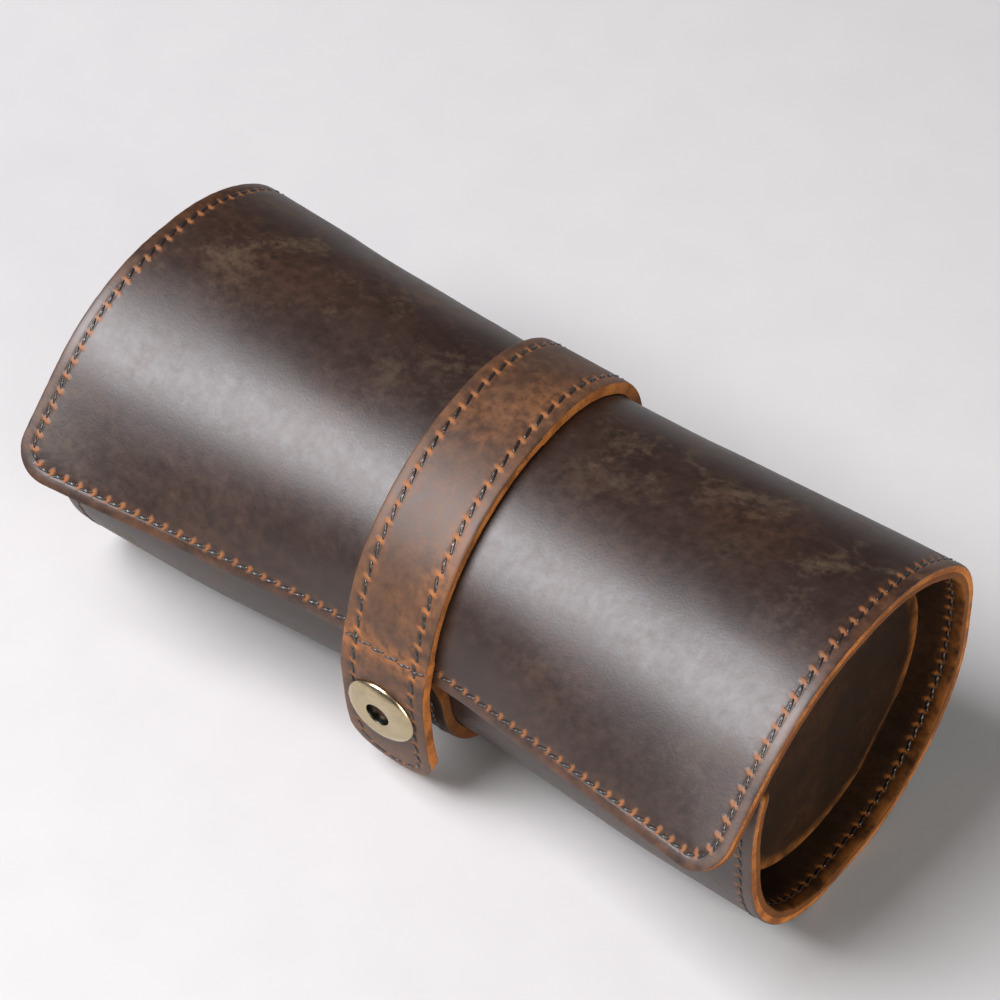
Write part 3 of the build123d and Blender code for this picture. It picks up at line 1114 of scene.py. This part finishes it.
def round_edges(obj, count, shown):
    """Wears a slab's free cut edges round on the faces that are shown."""
    hidden_wear = 0.2
    mesh = obj.data
    work = bmesh.new()
    work.from_mesh(mesh)
    free = work.verts.layers.float["free"]
    weight = work.edges.layers.float.new("bevel_weight_edge")
    for line in work.edges:
        kinds = {face.material_index for face in line.link_faces}
        if len(kinds) == 2 and all(vertex[free] > 0.5 for vertex in line.verts):
            near = line.verts[0].index < count
            line[weight] = 1.0 if shown[0 if near else 1] else hidden_wear
    work.to_mesh(mesh)
    work.free()
    width = bpy.context.scene.watch_case_sizes.edge_round
    applied(obj, "BEVEL", width=width, segments=3, limit_method="WEIGHT", material=0)
    return smoothed(obj)


def stitch_shape(width):
    """One stitch as bare points and faces, lying along X on its middle."""
    bpy.ops.mesh.primitive_uv_sphere_add(segments=8, ring_count=6, radius=1)
    obj = added("stitch_shape")
    points = []
    for vertex in obj.data.vertices:
        x, y, z = vertex.co
        sign = 1 if z >= 0 else -1
        points.append((sign * abs(z) ** 0.6 * 0.5, y * width / 2, x * width * 0.42))
    faces = [tuple(face.vertices) for face in obj.data.polygons]
    uvs = [tuple(item.uv) for item in obj.data.uv_layers[0].data]
    bpy.data.meshes.remove(obj.data)
    return points, faces, uvs


def sewn(name, placings, length, width):
    """One piece that holds a copy of the stitch at every placing."""
    points, faces, uvs = stitch_shape(width)
    all_points = []
    all_faces = []
    for placing in placings:
        base = len(all_points)
        for x, y, z in points:
            point = placing @ Vector((x * length, y, z))
            all_points.append((point.x, point.y, max(point.z, 0.0)))
        all_faces.extend(tuple(base + index for index in face) for face in faces)
    mesh = bpy.data.meshes.new(name)
    mesh.from_pydata(all_points, [], all_faces)
    layer = mesh.uv_layers.new(name="UVMap")
    for index, item in enumerate(layer.data):
        item.uv = uvs[index % len(uvs)]
    obj = bpy.data.objects.new(name, mesh)
    bpy.context.collection.objects.link(obj)
    turned_out(obj)
    bpy.ops.object.shade_smooth()
    return dressed(obj, "thread")


def ring_mesh(name, rings, looks, angle):
    """A closed tube through closed rings of points."""
    bpy.ops.mesh.primitive_torus_add(
        major_segments=len(rings), minor_segments=len(rings[0]), major_radius=1, minor_radius=0.2
    )
    obj = added(name)
    points = [point for ring in rings for point in ring]
    for vertex, point in zip(obj.data.vertices, points):
        vertex.co = point
    return smoothed(dressed(turned_out(obj), *looks), angle)


def lathe(name, profile, origin, axis, looks, segments=96):
    """A closed ring turned round an axis from its profile of radius and height."""
    turn = Vector(axis).to_track_quat("Z", "Y").to_matrix()
    rings = []
    for number in range(segments):
        angle = 2 * pi * number / segments
        ring = [Vector((r * cos(angle), r * sin(angle), height)) for r, height in profile]
        rings.append([origin + turn @ point for point in ring])
    return ring_mesh(name, rings, looks, 40)


def ring_tube(name, points, radius, finish, sides=8):
    """A round cord laid along a closed ring of points."""
    middle = sum(points, Vector()) / len(points)
    rings = []
    for index, point in enumerate(points):
        along = (points[(index + 1) % len(points)] - points[index - 1]).normalized()
        out = (point - middle).normalized()
        beside = along.cross(out).normalized()
        angles = [2 * pi * number / sides for number in range(sides)]
        rings.append([point + radius * (cos(a) * out + sin(a) * beside) for a in angles])
    return ring_mesh(name, rings, [finish], 60)


# Where the leather bends between two moving parts: both bodies, a point of the hinge line, the way
# across it, and how far the bend reaches before and after the point
BENDS = {
    "back": (
        "base", "flap_top", (0, END["back"] + shift, 0.040), (0, 0.342, 0.940), 0.0, 0.01845,
    ),
    "brow": (
        "flap_top", "flap_front", (0, -0.020425, 0.075957), (0, -0.883, -0.469), 0.007, 0.009,
    ),
    "tab": (
        "flap_front", "strap_tab", (0, -0.038908, 0.042469), (0, -0.2588, -0.9659), 0.004, 0.006,
    ),
}


def bends(obj, name):
    """Lets a piece bend across one hinge."""
    first, second, middle, way, before, after = BENDS[name]
    middle = Vector(middle)
    way = Vector(way)
    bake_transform(obj, first, second, middle - before * way, middle + after * way)


def crown_split(s):
    """The run length in the middle of the crown's flat."""
    steps = flap_steps(s)
    return sum(length_of(step) for step in steps[:3]) + length_of(steps[3]) / 2


sheet_split = crown_split(END)
strap_split = crown_split(WAIST)
tab_split = strap_lip - 0.006


# The pieces that the sheet and the strap are split into: their ends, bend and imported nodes
SHEET_PARTS = {
    "roll": (sheet_tip, sheet_split, "back", ["body", "flap_top"]),
    "flap": (sheet_split, sheet_lip, "brow", ["flap_top", "flap_front"]),
}
STRAP_PARTS = {
    "back": (counter_tip, strap_split, "back", ["counter_strap", "strap_top"]),
    "crown": (strap_split, tab_split, "brow", ["strap_top", "strap_front"]),
    "tab": (tab_split, strap_tip, "tab", ["strap_front", "tab"]),
}


class WATCHCASE_OT_sheet(bpy.types.Operator):
    """Winds the outer skin and the lining round the roll"""

    bl_idname = "watchcase.sheet"
    bl_label = "Wound sheet"

    def execute(self, context):
        step = context.scene.watch_case_sizes.mesh_step
        strip = SheetStrip(
            sheet_point, half, sheet_tip, sheet_lip, tip_corner, lip_corner, (sheet_row(),)
        )
        layers = {
            "outer": ((0.0, skin), ("outer", "edge"), (True, False)),
            "lining": ((skin, leather), ("lining", "dark edge"), (False, True)),
        }
        for layer, (depths, looks, shown) in layers.items():
            for part, (start, stop, bend, bodies) in SHEET_PARTS.items():
                piece = slab(f"{part}_{layer}", strip, (start, stop), depths, step, looks, shown)
                bends(piece, bend)
                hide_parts(*[f"{body}_{layer}" for body in bodies])
        return {"FINISHED"}


class WATCHCASE_OT_strap(bpy.types.Operator):
    """Lays the strap round the waist, from the stud to the tab's tip"""

    bl_idname = "watchcase.strap"
    bl_label = "Strap"

    def execute(self, context):
        step = context.scene.watch_case_sizes.strap_step
        reach = across / 2
        strip = Strip(
            strap_point, reach, counter_tip, strap_tip, reach, reach, (strap_row(),), sewn_line()
        )
        for part, (start, stop, bend, nodes) in STRAP_PARTS.items():
            # The strap's back piece, low on the roll, takes the cut edge with painted shade
            looks = ("strap", "edge with painted shade" if part == "back" else "edge")
            piece = slab(f"strap_{part}", strip, (start, stop), (-strap, 0.0), step, looks)
            bends(piece, bend)
            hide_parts(*[f"{node}_{ply}" for node in nodes for ply in ("face", "back")])
        return {"FINISHED"}


class WATCHCASE_OT_stitches(bpy.types.Operator):
    """Sews the sheet and the strap"""

    bl_idname = "watchcase.stitches"
    bl_label = "Stitches"

    def execute(self, context):
        sizes = context.scene.watch_case_sizes
        thick = sizes.strap_thread
        row = sheet_row()
        length = row.real_pitch * sheet_cover
        sink = stitch_sink
        for face, depth, outward in (("outer", sink, True), ("lining", leather - sink, False)):
            placings = list(row.stitches(depth, outward))
            for part, (start, stop, bend, _) in SHEET_PARTS.items():
                held = [placing for (_, run), placing in placings if start <= run < stop]
                bends(sewn(f"{part}_stitches_{face}", held, length, sizes.thread), bend)
        row = strap_row()
        length = row.real_pitch * strap_cover
        placings = list(row.stitches(-strap + sink, True))
        placings += cross_row().stitches(-strap + sink, True)
        for part, (start, stop, bend, _) in STRAP_PARTS.items():
            held = [placing for (_, run), placing in placings if start <= run < stop]
            bends(sewn(f"strap_stitches_{part}", held, length, thick), bend)
        tab_start = strap_lip + 0.003
        under = [placing for (_, run), placing in row.stitches(-sink, False) if run > tab_start]
        bends(sewn("tab_stitches_under", under, length, thick), "tab")
        return {"FINISHED"}


def snap_place():
    """The snap's point on the strap under it, and the way out of the roll."""
    _, _, inward_y, inward_z = strap_spot(stud_place)
    return strap_point(0, stud_place, -strap), Vector((0, -inward_y, -inward_z))


def cap_profile():
    """The ring cap's half outline, from its bore round the dome."""
    stack = 0.003953
    neck = stack - 0.0007
    face = stack + strap
    dome = [
        (0.0083, 0.0),
        (0.0087, 0.00008),
        (0.00885, 0.00028),
        (0.00878, 0.00052),
        (0.00858, 0.00078),
        (0.0083, 0.00100),
        (0.0079, 0.00126),
        (0.0075, 0.00150),
        (0.0071, 0.00170),
        (0.0068, 0.00179),
        (0.0064, 0.00184),
        (0.0060, 0.00185),
        (0.0055, 0.00182),
        (0.0048, 0.00178),
        (0.0040, 0.00177),
        (0.0034, 0.00176),
        (0.00318, 0.00171),
        (0.00306, 0.00160),
        (0.00300, 0.00144),
        (0.00298, 0.00100),
        (0.00296, 0.00010),
        (0.00290, -0.00080),
        (0.0024, -0.00160),
        (0.0019, -0.00200),
    ]
    barrel = [(0.0019, neck), (0.0024, neck), (0.0024, face)]
    return barrel + [(radius, face + height) for radius, height in dome]


def darken_bore(obj, origin, way):
    """Gives the cap's bore its dark grey metal: partly real, partly painted shade of the deep hole."""
    bore = 0.00304
    for polygon in obj.data.polygons:
        middle = polygon.center - origin
        if (middle - middle.dot(way) * way).length < bore:
            polygon.material_index = 1


class WATCHCASE_OT_snap(bpy.types.Operator):
    """Turns the ring cap and finishes the snap's metal"""

    bl_idname = "watchcase.snap"
    bl_label = "Ring snap"

    def execute(self, context):
        point, way = snap_place()
        # The bore takes dark grey metal, partly painted shade of the deep hole
        cap = lathe("snap_ring_cap", cap_profile(), point, way, ("brass", "tarnish"))
        darken_bore(cap, point, way)
        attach(cap, "strap_tab")
        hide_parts("snap_cap")
        for node in ("snap_post", "snap_stud", "snap_socket"):
            dressed(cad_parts[node], "brass")
        dressed(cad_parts["snap_spring"], "steel")
        return {"FINISHED"}


# Ears


def ear_sizes():
    """The ear's centre in the roll's frame and its radius, worked out as for its solid."""
    reach = ear_face - ear_leather
    section = mixed((half - reach) / (half - waist_half))
    top = spot(up_line(section)[2], 1)[1]
    low = section["floor"] + leather
    radius = (top - low) / 2 - ear_gap
    return (section["back"] - leather - ear_gap - radius, (top + low) / 2), radius


ear_centre, ear_radius = ear_sizes()
ear_dome = 0.0006
fold_reach = ear_radius - fold_depth
fold_half = sqrt(ear_radius**2 - fold_reach**2)
fold_turn = 0.0035
fold_length = fold_turn * pi / 2
tongue_tip = fold_reach + fold_length + tongue_length
tongue_corner = 0.004
slope = sqrt(0.5)
heel_middle = -(length_of(body_steps(END)[0]) + length_of(body_steps(END)[1]) / 2)


def ear_disc(a, b):
    """A place in the ear's plane: a along the fold and b towards it."""
    y = ear_centre[0] + a * slope + b * slope
    z = ear_centre[1] + a * slope - b * slope
    return y + shift, z


def ear_solid(side):
    """Places a flat point of an ear at a depth from its outer face, on one side of the roll."""

    def solid(a, b, depth):
        dome = ear_dome * max(1 - (a * a + b * b) / ear_radius**2, 0)
        if b <= fold_reach:
            y, z = ear_disc(a, b)
            return Vector((side * (ear_face + dome - depth), y, z))
        wall = leather + tongue_gap + depth * tongue_leather / ear_leather
        past = b - fold_reach
        if past < fold_length:
            share = past / fold_length
            y, z = ear_disc(a, fold_reach)
            first = Vector((ear_face - depth, y, z))
            last = sheet_point(ear_face - fold_turn, heel_middle + a, wall)
            corner = Vector((ear_face - depth, last.y, last.z))
            point = first.lerp(corner, share).lerp(corner.lerp(last, share), share)
        else:
            x = ear_face - fold_turn - (past - fold_length)
            point = sheet_point(x, heel_middle + a, wall)
        return Vector((side * point.x, point.y, point.z))

    return solid


@dataclass
class EarStrip(Strip):
    """The ear and its tongue laid flat."""

    side: int = 1

    def flat(self, u, run):
        """The top half is a half disc, then rows narrow to the fold and run on as the tongue."""
        a = -self.side * u
        if run < 1:
            t = 1 - run
            return ear_radius * a * sqrt(1 - t * t / 2), -ear_radius * t * sqrt(1 - a * a / 2)
        if run < 2:
            angle = (run - 1) * asin(fold_reach / ear_radius)
            return ear_radius * cos(angle) * a, ear_radius * sin(angle)
        b = fold_reach + (run - 2) * (fold_length + tongue_length)
        return cornered(fold_half * a, b, fold_half, tongue_tip, tongue_corner, 1)

    def edge(self, a, run):
        """The distance to the ear's cut edge."""
        if run <= fold_reach:
            return ear_radius - hypot(a, run)
        corners = (tongue_corner, tongue_corner)
        return edge_distance(a, run, fold_half, -far_off, tongue_tip, *corners)


class WATCHCASE_OT_ears(bpy.types.Operator):
    """Sets a leather ear with its folded tongue into each end"""

    bl_idname = "watchcase.ears"
    bl_label = "Ears"

    def execute(self, context):
        for name, side in (("right", 1), ("left", -1)):
            strip = EarStrip(ear_solid(side), 1, 0, 3, side=side)
            looks = ("lining", "edge")
            ear = slab(
                f"ear_leather_{name}", strip, (0, 3), (0.0, ear_leather), 0.032, looks, fine=False
            )
            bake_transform(ear, "base", f"ear_{name}", *ear_bend(side))
            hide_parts(f"ear_{name}", f"ear_tongue_{name}")
        return {"FINISHED"}


def ear_bend(side):
    """From the tongue on the lining to the ear, across its fold."""
    past_fold, before_fold, inwards = 0.004, 0.003, 0.001
    y, z = ear_disc(0, fold_reach + past_fold)
    start = Vector((side * (ear_face - fold_turn - inwards), y, z))
    y, z = ear_disc(0, fold_reach - before_fold)
    return start, Vector((side * ear_face, y, z))


def plain_maps(obj, flat):
    """Gives a piece without stitches the maps that its leather reads."""
    mesh = obj.data
    while mesh.uv_layers:
        mesh.uv_layers.remove(mesh.uv_layers[0])
    surface = mesh.uv_layers.new(name="surface")
    seam = mesh.uv_layers.new(name="seam")
    for loop in mesh.loops:
        surface.data[loop.index].uv = flat(mesh.vertices[loop.vertex_index].co)
        seam.data[loop.index].uv = (0, far_off)
    for name in ("edge", "crease"):
        layer = mesh.attributes.new(name, "FLOAT", "POINT")
        for item in layer.data:
            item.value = far_off


# Dividers


def divider_outline(x):
    """The divider's edge at a station: the inside of the body, level along its top."""
    shares = [number / 12 for number in range(13)]
    runs = []
    length = 0.0
    for step in body_steps(END):
        runs.extend(-(length + share * length_of(step)) for share in shares[:-1])
        length += length_of(step)
    points = [sheet_point(x, run, leather + seat_gap) for run in runs]
    points.append(sheet_point(x, -length, leather + seat_gap))
    start, end = points[0], points[-1]
    corner = Vector((x, start.y - 2 * seat_gap, divider_top))
    level = [end.lerp(corner, number / 14) for number in range(1, 14)]
    rise = [corner.lerp(start, number / 3) for number in range(0, 3)]
    return points + level + rise


class WATCHCASE_OT_dividers(bpy.types.Operator):
    """Cuts the two leather walls between the cushions"""

    bl_idname = "watchcase.dividers"
    bl_label = "Dividers"

    def execute(self, context):
        for name, side in (("right", 1), ("left", -1)):
            outline = divider_outline(side * divider_place)
            bpy.ops.mesh.primitive_circle_add(vertices=len(outline), fill_type="NGON")
            obj = added(f"divider_leather_{name}")
            for vertex, point in zip(obj.data.vertices, outline):
                vertex.co = point
            plain_maps(obj, lambda point: (point.y, point.z))
            dressed(obj, "lining", "edge")
            applied(obj, "SOLIDIFY", thickness=divider_leather, offset=0, material_offset_rim=1)
            applied(obj, "BEVEL", width=0.0006, segments=3, limit_method="ANGLE", material=1)
            smoothed(turned_out(obj))
            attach(obj, "base")
            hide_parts(f"divider_{name}")
        return {"FINISHED"}


# Cushions

# A cushion's cloth: how much smaller it starts, its rounded rims, its faces and its ends' bulge
pad_inset = 0.0009
pad_round = 0.0035
pad_voxel = 0.0040
pad_bulge = 0.0012
# How long and how hard the cloth is blown, and how far a point may move
blow_frames = 20
blow_pressure = 4
blow_reach = 0.0030
piping_radius = 0.0008


def oval_point(angle, reach_y, reach_z, corner):
    """A point of a rounded rectangle whose outward way has an angle."""
    sign_y = 1 if cos(angle) >= 0 else -1
    sign_z = 1 if sin(angle) >= 0 else -1
    y = sign_y * (reach_y - corner) + corner * cos(angle)
    z = sign_z * (reach_z - corner) + corner * sin(angle)
    return y, z


def oval_outside(y, z, reach_y, reach_z, corner):
    """How far a point lies outside a rounded rectangle, and the way out."""
    beside = abs(y) - (reach_y - corner)
    above = abs(z) - (reach_z - corner)
    if beside > 0 and above > 0:
        gap = hypot(beside, above)
        way = (beside / gap, above / gap)
        distance = gap - corner
    elif beside > above:
        way = (1, 0)
        distance = beside - corner
    else:
        way = (0, 1)
        distance = above - corner
    return distance, way[0] * (1 if y >= 0 else -1), way[1] * (1 if z >= 0 else -1)


def cushion_envelope(x, length, reach_y, reach_z):
    """The cushion's half sizes at a distance from its middle, as its solid swells."""
    part = min(abs(x) / (length / 2), 1)
    shrink = cushion_crown * part**2
    return reach_y - shrink, reach_z - shrink, cushion_corner - shrink


def blown(name, length, reach_y, reach_z):
    """A cushion round the origin, blown up as cloth from a smaller start."""
    bpy.ops.mesh.primitive_cylinder_add(vertices=72, radius=1, depth=1, rotation=(0, pi / 2, 0))
    obj = settled(added(name))
    start = (reach_y - pad_inset, reach_z - pad_inset, cushion_corner - pad_inset)
    for vertex in obj.data.vertices:
        x, y, z = vertex.co
        sign = 1 if x > 0 else -1
        angle = 0.0 if hypot(y, z) < 1e-6 else Vector((y, z)).angle_signed(Vector((1, 0)))
        vertex.co = (sign * (length / 2 - pad_inset), *oval_point(angle, *start))
    applied(obj, "BEVEL", width=pad_round, segments=4, limit_method="ANGLE")
    only(obj)
    obj.data.remesh_voxel_size = pad_voxel
    bpy.ops.object.voxel_remesh()
    swell(obj)
    applied(obj, "SUBSURF", levels=1, render_levels=1)
    longest = length / 2 + pad_bulge
    for vertex in obj.data.vertices:
        limits = cushion_envelope(vertex.co.x, length, reach_y, reach_z)
        distance, way_y, way_z = oval_outside(vertex.co.y, vertex.co.z, *limits)
        if distance > 0:
            vertex.co.y -= distance * way_y
            vertex.co.z -= distance * way_z
        vertex.co.x = max(min(vertex.co.x, longest), -longest)
    return obj


def swell(obj):
    """Blows a cushion up as cloth and keeps how far each point may move."""
    rest = [vertex.co.copy() for vertex in obj.data.vertices]
    only(obj)
    bpy.ops.object.modifier_add(type="CLOTH")
    cloth = obj.modifiers[-1]
    cloth.settings.use_pressure = True
    cloth.settings.uniform_pressure_force = blow_pressure
    cloth.settings.effector_weights.gravity = 0
    cloth.settings.quality = 5
    scene = bpy.context.scene
    for number in range(1, blow_frames + 1):
        scene.frame_set(number)
    full = obj.evaluated_get(bpy.context.evaluated_depsgraph_get())
    shaped = full.to_mesh()
    moves = [after.co.copy() - before for after, before in zip(shaped.vertices, rest)]
    full.to_mesh_clear()
    obj.modifiers.remove(cloth)
    scene.frame_set(1)
    for vertex, before, move in zip(obj.data.vertices, rest, moves):
        if move.length > blow_reach:
            move = move * (blow_reach / move.length)
        vertex.co = before + move


def surface_ring(obj, x, count):
    """Points round a cushion's surface at a distance from its middle."""
    points = []
    for number in range(count):
        angle = 2 * pi * number / count
        way = Vector((0, cos(angle), sin(angle)))
        hit, place, _, _ = obj.ray_cast(Vector((x, 0, 0)) + way * 0.1, -way)
        if not hit:
            raise RuntimeError("a cushion has no surface where its seam runs")
        points.append(place)
    return points


class WATCHCASE_OT_cushions(bpy.types.Operator):
    """Fills the roll with its three watch cushions"""

    bl_idname = "watchcase.cushions"
    bl_label = "Cushions"

    def execute(self, context):
        low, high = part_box("cushion_wrap_right")
        length = high.x - low.x
        reach_y = (high.y - low.y) / 2
        reach_z = (high.z - low.z) / 2
        pad = blown("cushion_shape", length, reach_y, reach_z)
        plain_maps(pad, lambda point: (point.x + 0.3 * point.y, point.z + 0.7 * point.y))
        dressed(pad, "cushion")
        only(pad)
        bpy.ops.object.shade_smooth()
        seam_reach = length / 2 - cheek - 0.0004
        rings = {side: surface_ring(pad, side * seam_reach, 96) for side in (-1, 1)}
        for name in ("centre", "right", "left"):
            low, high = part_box(f"cushion_wrap_{name}")
            middle = (low + high) / 2
            stretch = (high.x - low.x) / length
            moves = Matrix.Translation(middle) @ Matrix.Diagonal((stretch, 1, 1, 1))
            cushion = pad.copy()
            cushion.data = pad.data.copy()
            cushion.name = f"cushion_{name}"
            context.collection.objects.link(cushion)
            cushion.data.transform(moves)
            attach(cushion, "base")
            parts = ("core", "wrap", "cheeks")
            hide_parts(*[f"cushion_{part}_{name}" for part in parts])
            for side, ring in rings.items():
                word = "outer" if side > 0 else "inner"
                points = [moves @ point for point in ring]
                piping = ring_tube(f"cushion_piping_{name}_{word}", points, piping_radius, "edge")
                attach(piping, "base")
        bpy.data.objects.remove(pad)
        return {"FINISHED"}


class WATCHCASE_OT_stage(bpy.types.Operator):
    """Sets the floor, the lights and the camera"""

    bl_idname = "watchcase.stage"
    bl_label = "Stage"

    def execute(self, context):
        scene = context.scene
        scene.view_settings.view_transform = "Standard"
        bpy.ops.mesh.primitive_grid_add(x_subdivisions=8, y_subdivisions=8, size=6)
        ground = added("ground")
        graph = Graph("pale_ground")
        speckle = graph.noise(graph.place(), 60, 3)
        base = graph.blend(speckle, (0.53, 0.52, 0.515), (0.57, 0.56, 0.55))
        graph.principled(base_color=base, roughness=0.85)
        ground.data.materials.clear()
        ground.data.materials.append(graph.material)

        world = bpy.data.worlds.new("soft_room")
        scene.world = world
        world.use_nodes = True
        sky = world.node_tree.nodes["Background"].inputs
        sky["Color"].default_value = (0.93, 0.95, 1.0, 1)
        sky["Strength"].default_value = 0.08
        aim = Vector((0.0, 0.0, 0.04))
        lamp("key_light", aim, (-0.38, -0.42, 0.82), 1.1, (0.75, 0.68), 22.5, (0.97, 0.96, 1.0))
        lamp("fill_light", aim, (0.90, -0.32, 0.30), 1.2, (0.7, 0.7), 9.5, (1.0, 0.98, 0.95))
        lamp("back_light", aim, (0.2, 0.9, 0.5), 1.3, (0.7, 0.7), 0.4, (1.0, 0.98, 0.96))

        camera = bpy.data.cameras.new("view_camera")
        camera.lens = 155.98
        camera.sensor_width = 36.0
        camera.clip_start = 0.01
        view = bpy.data.objects.new("view_camera", camera)
        context.collection.objects.link(view)
        right = Vector((0.7947, 0.6070, 0.0))
        up = Vector((-0.4511, 0.5905, 0.6692))
        back = Vector((0.4062, -0.5318, 0.7431))
        view.rotation_euler = Matrix((right, up, back)).transposed().to_euler()
        view.location = (0.3821, -0.4951, 0.7546)
        scene.camera = view
        return {"FINISHED"}


def lamp(name, aim, way, distance, widths, power, tint):
    """A soft light that looks at a point from a direction, its long side along the roll."""
    data = bpy.data.lights.new(name, "AREA")
    data.shape = "RECTANGLE"
    data.size, data.size_y = widths
    data.energy = power
    data.color = tint
    obj = bpy.data.objects.new(name, data)
    bpy.context.collection.objects.link(obj)
    back = Vector(way).normalized()
    right = Vector((1, 0, 0)) - back.x * back
    right.normalize()
    obj.location = aim + distance * back
    obj.rotation_euler = Matrix((right, back.cross(right), back)).transposed().to_euler()


class WATCHCASE_PT_panel(bpy.types.Panel):
    """Lists the watch case's steps, sizes and colours"""

    bl_idname = "WATCHCASE_PT_panel"
    bl_label = "Watch Case"
    bl_space_type = "VIEW_3D"
    bl_region_type = "UI"
    bl_category = "Watch Case"

    def draw(self, context):
        for operator in OPERATORS:
            self.layout.operator(operator.bl_idname)
        for group in (context.scene.watch_case_sizes, context.scene.watch_case_colours):
            for key in group.__annotations__:
                self.layout.prop(group, key)


OPERATORS = [
    WATCHCASE_OT_stage,
    WATCHCASE_OT_sheet,
    WATCHCASE_OT_strap,
    WATCHCASE_OT_stitches,
    WATCHCASE_OT_snap,
    WATCHCASE_OT_ears,
    WATCHCASE_OT_dividers,
    WATCHCASE_OT_cushions,
]
CLASSES = [WatchCaseSizes, WatchCaseColours, *OPERATORS, WATCHCASE_PT_panel]


def register():
    """Registers the classes and the scene's settings."""
    for cls in CLASSES:
        bpy.utils.register_class(cls)
    bpy.types.Scene.watch_case_sizes = PointerProperty(type=WatchCaseSizes)
    bpy.types.Scene.watch_case_colours = PointerProperty(type=WatchCaseColours)


def unregister():
    """Takes the settings and the classes away again."""
    del bpy.types.Scene.watch_case_colours
    del bpy.types.Scene.watch_case_sizes
    for cls in reversed(CLASSES):
        bpy.utils.unregister_class(cls)


def main():
    """Runs every step in its order."""
    register()
    for operator in OPERATORS:
        getattr(bpy.ops.watchcase, operator.bl_idname.split(".")[1])()


if __name__ == "__main__":
    main()
